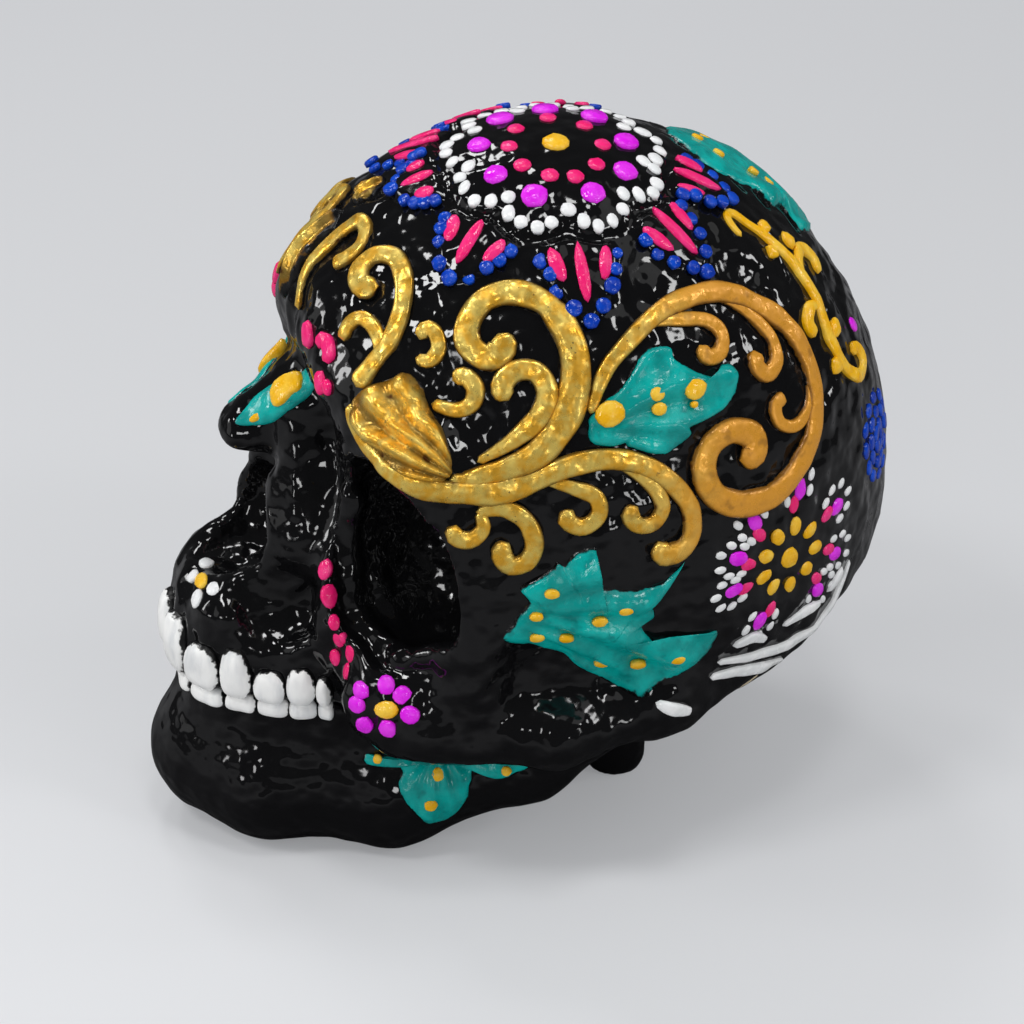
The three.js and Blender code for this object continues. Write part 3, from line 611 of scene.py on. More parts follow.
def skin(field, low, high, step):
    """Points and quads of the surface of a field between two corners of space."""
    axes = [np.arange(a, b + step, step) for a, b in zip(low, high)]
    grid = np.stack(np.meshgrid(*axes, indexing="ij"), -1)
    # a coarse look finds the grid points near the surface, and only those are worked out
    rough = field(grid[::COARSE, ::COARSE, ::COARSE])
    value = rough.repeat(COARSE, 0).repeat(COARSE, 1).repeat(COARSE, 2)
    value = value[tuple(slice(n) for n in grid.shape[:3])]
    close = np.abs(value) < NEAR * COARSE * step
    value[close] = field(grid[close])
    inside = value < 0
    corners = [tuple(slice(c, n - 1 + c) for c, n in zip(corner, inside.shape))
               for corner in np.ndindex(2, 2, 2)]
    count = sum(inside[c].astype(int) for c in corners)
    crossed = (count > 0) & (count < 8)
    cells = np.argwhere(crossed)
    number = np.full(crossed.shape, -1)
    number[crossed] = np.arange(len(cells))
    total = np.zeros((len(cells), 3))
    hits = np.zeros((len(cells), 1))
    units = np.eye(3, dtype=int)
    for axis in range(3):
        others = [units[i] for i in range(3) if i != axis]
        for i, j in np.ndindex(2, 2):
            a = cells + i * others[0] + j * others[1]
            b = a + units[axis]
            va, vb = value[tuple(a.T)], value[tuple(b.T)]
            cut = ((va < 0) != (vb < 0))[:, None]
            share = np.where(cut, va[:, None] / np.where(cut, (va - vb)[:, None], 1), 0)
            total += np.where(cut, grid[tuple(a.T)] + share * step * units[axis], 0)
            hits += cut
    points = total / hits
    for _ in range(ROUNDS):
        g = gradient(field, points)
        move = -field(points)[:, None] * g / np.maximum((g * g).sum(-1), FLAT)[:, None]
        points = points + np.clip(move, -STRAY * step, STRAY * step)
    quads = []
    for axis in range(3):
        u, v = units[(axis + 1) % 3], units[(axis + 2) % 3]
        ahead = np.roll(inside, -1, axis)
        edge = np.argwhere(inside != ahead)
        edge = edge[(edge[:, axis] < inside.shape[axis] - 1)
                    & (edge.min(1) > 0) & (edge < np.array(crossed.shape)).all(1)]
        ring = np.stack([number[tuple((edge - o).T)] for o in (0 * u, u, u + v, v)], -1)
        flip = inside[tuple(edge.T)]
        quads.append(np.where(flip[:, None], ring, ring[:, ::-1]))
    quads = np.concatenate(quads)
    return points, quads[(quads >= 0).all(1)]


ball = skin(ellipsoid((0, 0, 0), (10, 10, 10)), (-12, -12, -12), (12, 12, 12), 1.5)
print("a test ball has", len(ball[0]), "points and", len(ball[1]), "quads")


# %% Putting a mesh into the scene
def piece(name, points, faces, look, nodes=(), edge=None):
    """A mesh from points in millimetres, smooth, riding on the skull; edge fills its attribute."""
    mesh = bpy.data.meshes.new(name)
    mesh.from_pydata(((points + SHIFT) * MM).tolist(), [], [list(f) for f in faces])
    if edge is not None:
        layer = mesh.attributes.new("edge", "FLOAT", "POINT")
        layer.data.foreach_set("value", np.asarray(edge, np.float32).ravel())
    work = bmesh.new()
    work.from_mesh(mesh)
    bmesh.ops.recalc_face_normals(work, faces=work.faces)
    work.to_mesh(mesh)
    work.free()
    mesh.polygons.foreach_set("use_smooth", np.ones(len(mesh.polygons), bool))
    mesh.materials.append(look.material)
    made = bpy.data.objects.new(name, mesh)
    bpy.context.collection.objects.link(made)
    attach(made, "root")
    if nodes:
        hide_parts(*nodes)


# %% [markdown]
# ## Black lacquer
# Nearly black, glossy and uneven: fine wrinkles in the normal, and roughness that wanders so
# that some patches are mirror-like and others satin. One chip low on the back shows bare resin.

# %% Lacquer
BLACK = (0.004, 0.004, 0.0045, 1)
RESIN = colour(222, 205, 172)
CHIP = (122, -33)  # longitude and latitude
CHIP_RADIUS = 2.6 * MM
CHIP_RAGGED = 4 * MM
FAR_OUT = 110.0  # millimetres from a heart, outside everything
MARCH = 60  # steps of a ray
CAUTION = 0.85  # share of the field's value that a step goes


def cast(field, heart, ways):
    """Where rays from a heart leave the surface: march inwards by the field's own value."""
    run = np.full(len(ways), FAR_OUT)
    for _ in range(MARCH):
        run = run - CAUTION * field(heart + ways * run[:, None])
    return heart + ways * run[:, None]


def on_skull(places):
    """Points of the skull at longitudes and latitudes."""
    return cast(skull, HEART, direction(places))


lacquer = Look("black_lacquer")
chip_place = ((on_skull([CHIP])[0] + SHIFT) * MM).tolist()
offset = lacquer.node("ShaderNodeVectorMath", {"operation": "DISTANCE"},
                      {0: lacquer.place, 1: chip_place}, out="Value")
chip = lacquer.ramp(offset + (lacquer.noise(2.5) - 0.5) * CHIP_RAGGED,
                    CHIP_RADIUS, CHIP_RADIUS * 0.8)
lacquer.shade(
    Base_Color=lacquer.mix(chip, BLACK, RESIN),
    Roughness=lacquer.ramp(lacquer.noise(9, 2), 0.35, 0.7, 0.05, 0.12) + chip * 0.5)
lacquer.bump(lacquer.noise(3.0, 0.4), 0.68)
print("lacquer:", len(lacquer.tree.nodes), "nodes, chip at", np.round(chip_place, 3), "m")

# %% The two castings
SKULL_STEP = 0.88
JAW_STEP = 0.9
JOINT = 0.4  # millimetres between the jaw and the skull
FLOOR_FADE = 2.0  # height over which the lumps grow from nothing at the floor


def jaw(p):
    """The jaw stops at a thin joint short of the skull."""
    return np.maximum(jaw_bone(p), JOINT - skull(p))


def casting(name, field, low, high, step):
    """A skin over a field, cut flat at the floor, with the lacquer's lumps along its normals."""
    points, quads = skin(lambda p: np.maximum(field(p), -p[..., 2]), low, high, step)
    floor_gap = np.clip(points[:, 2] / FLOOR_FADE, 0, 1)
    points = points + normals(field, points) * (ground(points) * floor_gap)[:, None]
    piece(name + "_skin", points, quads, lacquer, [name])
    print(name, len(points), "points")


casting("cranium", skull, (-58, -92, -3), (58, 66, 145), SKULL_STEP)
casting("jaw", jaw, (-44, -96, -3), (44, 8, 44), JAW_STEP)

# %% [markdown]
# ## Pieces that lie on the skull
# Every ornament is laid on the surface in the same way: its points get a base on the skull, the
# surface's normal there and a height above it. A shape is those three arrays, its faces and its
# edge attribute. The right side is the left one with x turned round, laid on its own lumps.


# %% Laying shapes on the surface
SUNK = -0.7  # the underside of every ornament lies this far inside the lacquer
LUMP_SHARE = 0.7  # paste evens out the rest of the lumps under it
NEWTON = 4  # steps towards the surface
LOW_SLOPE = 0.2  # the lowest squared slope that a step divides by


def settle(field, p):
    """Newton's steps along the gradient until the field is zero."""
    for _ in range(NEWTON):
        g = gradient(field, p)
        p = p - field(p)[..., None] * g / np.maximum((g * g).sum(-1), LOW_SLOPE)[..., None]
    return p


def join(shapes):
    """Several shapes as one: their arrays end to end, face numbers moved along."""
    first = np.cumsum([0] + [len(s[0]) for s in shapes])
    faces = [[i + n for i in face] for s, n in zip(shapes, first) for face in s[3]]
    return (*(np.concatenate([s[i] for s in shapes]) for i in (0, 1, 2)), faces,
            np.concatenate([s[4] for s in shapes]))


def lay(name, shape, look, nodes=(), turn=1):
    """A shape as a piece: base + normal x (flower, part of the lumps and its own height)."""
    base, normal, height, faces, edge = shape
    mirror = np.array([turn, 1, 1])
    base, normal = base * mirror, normal * mirror
    points = base + normal * (relief(base) + LUMP_SHARE * lumps(base) + height)[:, None]
    piece(name, points, faces, look, nodes, edge)


def lay_pair(name, shape, look, prefix):
    """The left piece and its mirror image, each in the place of its node."""
    for side, turn in (("left", 1), ("right", -1)):
        lay(prefix + name + "_" + side, shape, look, [name + "_" + side], turn)


print("the crown's top is at", settle(skull, np.array([[0, -5, 146.0]]))[0].round(1), "mm")


# %% [markdown]
# ## Cords
# A scroll is a flattened cord of gold paste, squeezed from a bag. Its spine is a smooth curve
# through a few places of the map, set on the surface; a profile is carried along it, and its
# width follows a few keys, so that a curl can swell into a blob. The ends are round.


# %% A profile carried along a path
PROFILE = 11  # points across the top of a cord
CORD_STEP = 0.7  # millimetres between its rings
RISE = 0.54  # height as a share of the width
FLATTEN = 0.1  # how much a millimetre of width lowers a cord
CROWN = 0.42  # power of the sine across a cord: the lower, the flatter its top
UNEVEN = (0.12, 4.0)  # how far the width wanders, and over how many millimetres
BLUNT = 0.004  # keeps the end rings from shrinking to a point
UNDER = 0.9  # width of the underside as a share of the top's
CURVE_SHARE = 24  # fine steps between two points of a curve


def catmull(a, b, c, d, t):
    """The Catmull-Rom curve of four points: at b for t = 0 and at c for t = 1."""
    return 0.5 * (2 * b + (c - a) * t + (2 * a - 5 * b + 4 * c - d) * t ** 2
                  + (3 * b - a - 3 * c + d) * t ** 3)


def curve(points, step):
    """A smooth curve through points, resampled at even steps, and the run at each."""
    p = np.concatenate([2 * points[:1] - points[1:2], points, 2 * points[-1:] - points[-2:-1]])
    t = np.linspace(0, 1, CURVE_SHARE, endpoint=False)[None, :, None]
    fine = catmull(p[:-3, None], p[1:-2, None], p[2:-1, None], p[3:, None], t)
    fine = np.concatenate([fine.reshape(-1, 3), points[-1:]])
    run = np.concatenate([[0], np.cumsum(length(np.diff(fine, axis=0)))])
    at = np.linspace(0, run[-1], max(6, round(run[-1] / step)) + 1)
    return np.stack([np.interp(at, run, fine[:, i]) for i in range(3)], -1), at


def tube_faces(rings, around):
    """Quads between neighbouring rings of points, and a face over each end."""
    i, k = np.meshgrid(np.arange(rings - 1), np.arange(around), indexing="ij")
    a, b = i * around, (i + 1) * around
    after = (k + 1) % around
    quads = np.stack([a + k, a + after, b + after, b + k], -1).reshape(-1, 4).tolist()
    last = (rings - 1) * around
    return quads + [list(range(around)), list(range(last, last + around))]


def cord(points, widths, rise=RISE, lift=0.0):
    """Across: cos, up: a power of sin of an angle from 0 to 180 degrees; broad cords lie flatter."""
    spine, at = curve(points, CORD_STEP)
    spine = settle(skull, spine)
    up = normals(skull, spine)
    side = np.cross(up, np.gradient(spine, axis=0))
    side = side / length(side)[:, None]
    width = np.interp(at / at[-1], np.linspace(0, 1, len(widths)), widths)
    width = width * (1 + UNEVEN[0] * noise(spine, UNEVEN[1]))
    to_end = np.clip(np.minimum(at, at[-1] - at) / (0.5 * width), 0, 1)
    swell = np.sqrt(np.maximum(1 - (1 - to_end) ** 2, BLUNT))
    angle = np.linspace(0, np.pi, PROFILE)
    across = np.concatenate([np.cos(angle), [-UNDER, UNDER]])
    crown = np.sin(angle) ** CROWN
    across = across[None] * (width * swell / 2)[:, None]
    tall = rise * width / (1 + FLATTEN * width) * np.sqrt(swell)
    height = crown[None] * tall[:, None] + lift
    height = np.concatenate([height, np.full((len(spine), 2), SUNK)], 1)
    base = spine[:, None] + side[:, None] * across[..., None]
    around = len(angle) + 2
    edge = np.tile(np.concatenate([1 - np.sin(angle), [1, 1]]), len(spine))
    return (base.reshape(-1, 3), np.repeat(up, around, 0), height.ravel(),
            tube_faces(len(spine), around), edge)


def scroll(cords):
    """Several cords as one shape, each from its places and its widths."""
    return join([cord(on_skull(places), widths) for places, widths in cords])


print("a cord has", PROFILE + 2, "points to a ring")


# %% [markdown]
# ## Pads
# A leaf or a tooth is a pad: rings run from its middle to its outline, one sheet above the
# surface and one inside it. The outline is a closed curve through its corner points.


# %% Rings from a middle to an outline
def closed_curve(outline, share=6, sharp=0.6):
    """A closed curve through the outline's points; sharp pulls it to straight sides."""
    p = np.asarray(outline, float)
    t = np.linspace(0, 1, share, endpoint=False)[None, :, None]
    a, b, c, d = (np.roll(p, n, 0)[:, None] for n in (1, 0, -1, -2))
    bent = catmull(a, b, c, d, t)
    straight = b + (c - b) * t
    return (bent + sharp * (straight - bent)).reshape(-1, 2)


def pad(place, field, middle, outline, height_of, rings=14):
    """Places run from the middle to the outline; height_of(share, u, v) gives the upper sheet."""
    n = len(outline)
    share = np.linspace(0, 1, rings + 1)[1:]
    middle = np.asarray(middle, float)
    uv = middle + (outline[None] - middle) * share[:, None, None]
    uv = np.concatenate([middle[None], uv.reshape(-1, 2)])
    share = np.concatenate([[0], np.repeat(share, n)])
    base = place(uv)
    up = normals(field, base)
    height = height_of(share, uv[:, 0], uv[:, 1])
    i = np.arange(n)
    j = (i + 1) % n
    ring = np.arange(rings - 1)[:, None] * n + 1
    fan = np.stack([0 * i, 1 + i, 1 + j], -1)
    quads = np.stack([ring + i, ring + n + i, ring + n + j, ring + j], -1).reshape(-1, 4)
    total = len(base)
    rim = total - n
    wall = np.stack([rim + i, rim + j, rim + total + j, rim + total + i], -1)
    faces = [f for part in (fan, quads, fan[:, ::-1] + total, quads[:, ::-1] + total, wall)
             for f in part.tolist()]
    return (np.tile(base, (2, 1)), np.tile(up, (2, 1)),
            np.concatenate([height, np.full(total, SUNK)]), faces,
            np.concatenate([share, np.ones(total)]))


square = closed_curve([(0, 0), (1, 0), (1, 1), (0, 1)])
print("a square's outline becomes", len(square), "points")


# %% [markdown]
# ## Gold
# The front scrolls are gilded with leaf, bright and broken by dark specks; towards the back the
# gold is a duller ochre paint. Where the cord meets the lacquer the brush stopped short, so the
# gold ends in a ragged line, which the edge attribute and some noise draw; they also paint shade.

# %% Gold leaf
GOLD_LIGHT = colour(255, 222, 112)
GOLD_MID = colour(250, 188, 56)
GOLD_DEEP = colour(92, 52, 6)
OCHRE = colour(230, 160, 52)
OCHRE_FROM = 28 * MM  # from here back all is ochre
LEAF_FROM = 2 * MM  # from here forward all is leaf

gold = Look("gold_leaf")
depth = gold.node("ShaderNodeSeparateXYZ", {}, {0: gold.place}, out="Y")
leafed = gold.ramp(depth, OCHRE_FROM, LEAF_FROM)
ragged = gold.ramp(gold.edge() + (gold.noise(1.8, 3) - 0.5) * 0.5, 0.8, 0.9)
specks = gold.ramp(gold.noise(1.1, 4), 0.69, 0.73) * leafed * 0.85
bare = ragged + specks - ragged * specks
tone = gold.mix(gold.ramp(gold.noise(2.6, 4), 0.35, 0.65), GOLD_MID, GOLD_LIGHT)
tone = gold.mix(leafed, OCHRE, tone)
# painted shade: the edge attribute darkens each cord's sides and the brow leaf's grooves to deep
# gold
painted_side_shade = gold.ramp(gold.edge() + (gold.noise(2.6, 3) - 0.5) * 0.5, 0.22, 0.72)
# noise adds random darker patches on top of the painted shade
tone = gold.mix(gold.ramp(gold.noise(3.4, 3), 0.58, 0.74) * 0.4 + painted_side_shade * 0.75, tone, GOLD_DEEP)
gold.shade(
    Base_Color=gold.mix(bare, tone, BLACK),
    Metallic=(leafed * 0.4 + 0.2) * (1 - bare),
    Roughness=gold.ramp(gold.noise(1.7, 3), 0.3, 0.7, 0.22, 0.42))
gold.bump(gold.noise(1.1, 1) * 0.15 + gold.noise(2.8, 1), 0.5)
print("gold leaf:", len(gold.tree.nodes), "nodes")

# %% Scrolls of the left side
temple_scroll = scroll([
    ([(54, 22.5), (62, 25.5), (69, 29.5), (74, 36), (75.5, 43), (73.5, 48.5), (68, 52.6), (60, 53.6),
      (53.4, 51.8), (50.6, 48), (51.6, 44.4), (56, 43), (59, 45), (57.5, 47)],
     [3, 4.6, 5.6, 5.9, 5.2, 4.8, 4.8, 4.8, 5]),
    ([(56.5, 26), (63, 30.6), (68, 35), (69.4, 39), (66.6, 42), (62, 41.6), (59.8, 39), (61.5, 37)],
     [1.6, 3.6, 4.2, 4, 4]),
])
lower_scroll = scroll([
    ([(32.2, 30.4), (33.6, 27.5), (36.5, 25), (41, 23), (46.5, 21.6), (54, 20.8), (60, 21),
      (67, 23.5), (74, 26.5), (82, 27.5), (89, 26), (95, 22), (99, 16.5), (99.6, 11), (97.5, 7.6),
      (93.5, 7.2), (92.4, 10)], [2, 3, 4.4, 4.8, 4, 3.8, 3.8, 3.8, 4.4]),
    ([(69, 24), (75, 22.5), (79.5, 20.5), (80, 17), (77, 14.9), (73.8, 16.3), (75, 18.2)],
     [1.8, 2.9, 3.2, 3.6]),
    ([(84, 27), (91, 22), (93.2, 17.5), (91.7, 14.4), (88.5, 14.1), (86.4, 16.3), (88, 18)],
     [1.8, 2.9, 3.2, 3.8]),
    ([(52.5, 22.6), (59, 23.3), (66, 26.2), (70.5, 29.5)], [2.6, 3, 2.4, 1.4]),
])
hook_scroll = scroll([
    ([(57, 17.3), (62, 18.2), (66, 16), (67.7, 11.5), (66.2, 7.9), (63.2, 7.2), (61.6, 9.7),
      (63, 11.6)], [2.2, 3.4, 3.8, 3.8, 4.2]),
    ([(57.5, 17.6), (58.3, 14.5), (56.5, 12.4), (54, 13), (54, 15)], [2, 3, 3.4, 3.4]),
])
ring_scroll = scroll([
    ([(78.6, 35.5), (82, 42), (88, 46.5), (97, 50.5), (107, 52), (117.5, 51), (127, 46.5),
      (133, 40), (134.5, 33), (133, 26), (129, 20), (123, 15.5), (116.5, 13.4), (109.5, 14.4),
      (104.4, 17.8), (102.6, 23), (105, 27), (110, 28.4), (115, 26.2), (114.6, 23), (111.5, 22.4)],
     [2, 3.4, 4, 4, 4, 4.2, 4.8, 5, 5, 5.4]),
    ([(95, 49.5), (104, 49), (111, 47.5), (113.6, 44.5), (111.6, 42), (108, 42), (106.8, 44.2)],
     [1.8, 2.8, 3, 3.4]),
    ([(117, 50.5), (123.5, 46), (126.7, 41), (126, 37), (122.5, 35.3), (120, 37.4), (121, 40)],
     [1.8, 2.8, 3.2, 3.8]),
    ([(134, 31), (130.5, 25.9), (126, 24.5), (122.6, 26.3), (122.6, 29.5), (125.6, 30.4)],
     [1.8, 2.6, 2.8, 3]),
])
forehead_scroll = scroll([
    ([(32.5, 33), (34, 37), (35.5, 42), (35, 47), (32.6, 50.6), (27.5, 52.8), (22.6, 51.6),
      (21.4, 48.8), (24, 46.8), (27.4, 48)], [4, 3.4, 3.4, 3.8, 4, 4.8]),
    ([(34, 36.5), (34, 39.5), (31, 42.2), (27.4, 42.6), (25.6, 40.5), (26.2, 38.4)],
     [1.8, 2.8, 3, 3.2]),
])
upper_curl = scroll([
    ([(41.4, 40.2), (44.3, 40.4), (45.6, 42.5), (44.2, 44.6), (41.8, 45), (41.2, 43)],
     [2, 2.8, 2.9, 2.9]),
])
brow_curl = scroll([
    ([(46.5, 34), (51, 33.9), (54, 35.3), (54.5, 37.9), (52, 39.5), (49.6, 38.4)],
     [2.2, 3, 3.4, 3.2]),
])
crest_loop = scroll([
    ([(9.5, 38.5), (7.8, 42), (7.2, 46.5), (7.5, 51), (10, 54.2), (14, 54.2), (16.4, 51.8),
      (15.8, 49.2), (13.4, 47)], [2.2, 3, 3.2, 3, 3.4]),
])
for name, shape in (
        ("temple_scroll", temple_scroll), ("lower_scroll", lower_scroll),
        ("hook_scroll", hook_scroll), ("ring_scroll", ring_scroll),
        ("forehead_scroll", forehead_scroll), ("upper_curl", upper_curl),
        ("brow_curl", brow_curl), ("crest_loop", crest_loop)):
    lay_pair(name, shape, gold, "gold_")
    print(name, len(shape[0]), "points")

# %% [markdown]
# The gold leaf over the brow is one mass of paste, combed into ridges that fan out from its stem
# and then pressed and crumpled. The crest in the middle of the forehead is a blade with a rib,
# and a small leaf above it.


# %% Brow leaf
SWAY = (1.3, 5)  # how far the ridges bend, and over how many degrees
TWIST = 0.05
CRUMPLES = [(0.45, 2.4), (0.2, 1.3)]  # height in millimetres, width in degrees
FAN = (5, 0.2)  # degrees from the stem to full ridges, and their share at the stem
SHOULDER = 3.5  # power of the dome: the higher, the squarer its sides
BROW_TOP = 3.2  # height whose edge value is 0


def combed(stem, rise, depth, ridges):
    """A dome with ridges in the bearing from the stem, bent and crumpled by noise."""
    def height(share, u, v):
        across = (u - stem[0]) * np.cos(np.radians(v))
        bearing = np.arctan2(v - stem[1], -across)
        away = np.hypot(across, v - stem[1])
        place = np.stack([u, v, 0 * u], -1)
        wave = np.cos(ridges * bearing + SWAY[0] * noise(place, SWAY[1]) + TWIST * away)
        crumple = sum(tall * noise(place, size) for tall, size in CRUMPLES)
        dome = np.sqrt(np.maximum(1 - share ** SHOULDER, 0))
        return dome * (rise + np.clip(away / FAN[0], FAN[1], 1) * depth * wave + crumple)
    return height


BROW_LEAF = [(32.3, 31), (33, 28), (36, 25.6), (41, 23.6), (46, 22.3), (51, 22), (53, 23.6),
             (52.3, 27), (50, 30.5), (46.3, 33.6), (43.6, 36.8), (40, 37.8), (38, 36), (34.6, 33.8)]
brow_leaf = pad(on_skull, skull, (43.5, 28.8), closed_curve(BROW_LEAF, 14, 0.3),
                combed((55, 22.5), 2.4, 1.0, 21), 26)
# painted shade in the grooves: the lower a place, the nearer its edge value is to 1, the darker its
# gold
brow_leaf = (*brow_leaf[:4], np.clip(1 - brow_leaf[2] / BROW_TOP, 0, 1))
lay_pair("brow_leaf", brow_leaf, gold, "gold_")
print("brow leaf", len(brow_leaf[0]), "points")


# %% Crest
def mirrored(half, lon=0.0):
    """An outline whose second half mirrors the first about a meridian."""
    half = np.asarray(half, float)
    return np.concatenate([half, half[-2:0:-1] * [-1, 1] + [2 * lon, 0]])


def ribbed(rise):
    """A dome whose sides fall away from a rib along its length."""
    def height(share, u, v):
        return rise * np.sqrt(np.maximum(1 - share ** 2.4, 0)) * (0.72 + 0.28 * np.cos(u * 1.9))
    return height


crest_blade = pad(on_skull, skull, (0, 46), closed_curve(
    mirrored([(0, 37.5), (3.2, 41), (4.2, 46), (3, 51), (0, 54)])), ribbed(2.6), 10)
crest_top = pad(on_skull, skull, (0, 58), closed_curve(
    mirrored([(0, 55.5), (4.5, 56.5), (5, 58.5), (2.5, 60.5), (0, 61.5)])), ribbed(2.0), 8)
lay("gold_crest_blade", crest_blade, gold, ["crest_blade"])
lay("gold_crest_top", crest_top, gold, ["crest_top"])
print("crest", len(crest_blade[0]) + len(crest_top[0]), "points")

# %% [markdown]
# ## Leaves
# The blue-green leaves are thick paint pulled with a brush: ripples fan out from the stem, the
# colour wanders in patches, and the paint ends short of the leaf's edge in places.

# %% Leaf paint
TEAL_LIGHT = colour(0, 178, 170)
TEAL = colour(0, 148, 142)
TEAL_DEEP = colour(0, 104, 104)

teal = Look("leaf_paint")
ragged = teal.ramp(teal.edge() + (teal.noise(2.2, 3) - 0.5) * 0.12, 0.965, 0.985)
tone = teal.mix(teal.ramp(teal.noise(5, 3), 0.35, 0.65), TEAL, TEAL_LIGHT)
tone = teal.mix(teal.ramp(teal.noise(2.4, 2), 0.55, 0.8) * 0.6, tone, TEAL_DEEP)
teal.shade(
    Base_Color=teal.mix(ragged, tone, BLACK),
    Roughness=teal.ramp(teal.noise(4, 2), 0.3, 0.7, 0.14, 0.3))
teal.bump(teal.noise(1.3, 3) * 0.5 + teal.noise(3.5, 2) * 0.8, 0.3)
print("leaf paint:", len(teal.tree.nodes), "nodes")

# %% Leaf shapes
RIPPLE_REACH = 14  # degrees from the stem to full ripples


def rippled(stem, rise=1.5, wave=0.75, count=13):
    """A flat dome with waves in the bearing from the stem, which die out at the stem and edge."""
    def height(share, u, v):
        across = (u - stem[0]) * np.cos(np.radians(v))
        bearing = np.arctan2(v - stem[1], across)
        away = np.clip(np.hypot(across, v - stem[1]) / RIPPLE_REACH, 0, 1)
        dome = np.sqrt(np.maximum(1 - share ** 5, 0))
        return dome * (rise + wave * away * np.sin(count * bearing + 0.15 * u))
    return height


TEMPLE_LEAF = [
    (78, 34.5), (81, 37), (85.5, 39.5), (89, 42.5), (92, 45), (96, 46), (99.5, 45), (100, 43),
    (106, 39.5), (109, 38.5), (111.5, 40), (114, 39.5), (115.5, 37.5), (113.5, 34.5), (110, 32.5),
    (104.5, 31.5), (100.5, 31), (100.5, 29.5), (94.5, 27), (87, 29), (86, 30), (83, 29.5),
    (78.5, 30.5)]
EAR_LEAF = [
    (65, 2.5), (71, 6), (72, 7.5), (73.5, 6.5), (75, 9), (79.5, 10.5), (77.6, 6), (79.5, 2),
    (84.5, 0.5), (91, 0), (94, 1), (98.5, 4.5), (95, -0.5), (91, -3), (92.5, -7), (89.5, -9),
    (93, -14), (97.5, -14.5), (102.5, -14.5), (107.5, -14), (106.5, -18), (103.5, -21.5),
    (96, -24), (91, -27), (86.5, -26), (82, -24), (76.5, -20.5), (72.5, -15.5), (62.5, -9),
    (63, -5.5), (66.5, -1)]
JAW_LEAF = [
    (39.5, 19.3), (41, 22.5), (48, 22.5), (58, 23.5), (70, 26), (86, 27), (96, 25), (102, 21),
    (107, 18.3), (112, 16.5), (120, 15), (115, 12.8), (109.4, 10), (104.5, 12), (99, 14.6),
    (98, 10), (96, 6), (95, 0), (91, -9), (83, -16.5), (74, -16), (66, -5), (60, 4), (58.5, 10),
    (60, 15), (58, 18), (53, 17.4), (48, 17), (42, 17.2)]
NOSE_LEAF = [
    (3.2, 15.8), (2.3, 18), (2, 20.5), (3.2, 24), (6, 27.3), (8.2, 30), (11, 30.3), (12.4, 28.8),
    (11.6, 26), (10.4, 23), (8.4, 20.3), (5.6, 17.4)]
CROWN_LEAF = mirrored([
    (180, 42), (172, 43.5), (164.5, 47), (168.5, 51.5), (161.5, 54.3), (162.5, 57.5), (159.5, 61),
    (155.5, 66), (157.5, 68.6), (164, 70.7), (172, 72.2), (180, 73)], 180)
JAW_HEART = np.array([12, -36, 16])


def on_jaw(places):
    """Points of the jaw at longitudes and latitudes about its own heart."""
    return cast(jaw, JAW_HEART, direction(places))


LEAVES = [  # name, surface, middle, outline, sharpness, ripples
    ("temple_leaf", (on_skull, skull), (93.5, 35), TEMPLE_LEAF, 0.3, rippled((80, 32.5))),
    ("ear_leaf", (on_skull, skull), (83, -10.5), EAR_LEAF, 0.4, rippled((63, -4), count=17)),
    ("jaw_leaf", (on_jaw, jaw), (85, 22), JAW_LEAF, 0.6, rippled((80, 30), 1.2, 0.3)),
    ("nose_leaf", (on_skull, skull), (6.5, 23), NOSE_LEAF, 0.2, rippled((3, 15), 1.1, 0.2, 7)),
]
for name, surface, middle, outline, sharp, ripples in LEAVES:
    shape = pad(*surface, middle, closed_curve(outline, sharp=sharp), ripples)
    lay_pair(name, shape, teal, "painted_")
lay("painted_crown_leaf", pad(on_skull, skull, (180, 60), closed_curve(CROWN_LEAF),
                              rippled((180, 40))), teal, ["crown_leaf"])
print("leaves:", 2 * len(LEAVES) + 1)

# %% [markdown]
# ## Teeth
# Each tooth is a rounded block of white paint on the black gum. Brush marks run down it, and
# its border is broken where the brush skipped. Teeth are placed by their distance along the gum.

# %% Tooth paint and teeth
WHITE = colour(252, 252, 250)
WHITE_GREY = colour(226, 228, 229)
TEETH = [  # name, distance along the gum, width, height in the upper row
    ("incisor_1", 4.6, 8.8, 12.8), ("incisor_2", 13.4, 8.8, 10), ("canine", 21.2, 6.8, 10.8),
    ("premolar_1", 28, 6.8, 6.8), ("premolar_2", 34.2, 6, 7.8), ("molar_1", 38.7, 3.4, 6.2)]
GUM_MARCH = 40  # steps from before the gum to its surface
BEFORE_GUM = 4
GUM_RUN = (1.2, 600)  # how far past its width a gum is measured, and in how many steps
TOOTH_SIDES = 44
TOOTH_RINGS = 9
TOOTH_SQUARE = (0.6, 0.7)  # powers of the outline across and up: 1 is round, 0 is square
TOOTH_SHOULDER = 2.8
TOOTH_EDGE = 0.2  # thickness of the paint at the outline

ivory = Look("tooth_paint")
ragged = ivory.ramp(ivory.edge() + (ivory.noise(1.5, 3) - 0.5) * 0.34, 0.9, 0.95)
tone = ivory.mix(ivory.ramp(ivory.noise(3, 3, (1, 1, 0.3)), 0.45, 0.75), WHITE, WHITE_GREY)
ivory.shade(Base_Color=ivory.mix(ragged, tone, BLACK),
            Roughness=ivory.ramp(ivory.noise(3), 0.3, 0.7, 0.3, 0.45))
ivory.bump(ivory.noise(2.2, 2, (1, 1, 0.5)), 0.25)


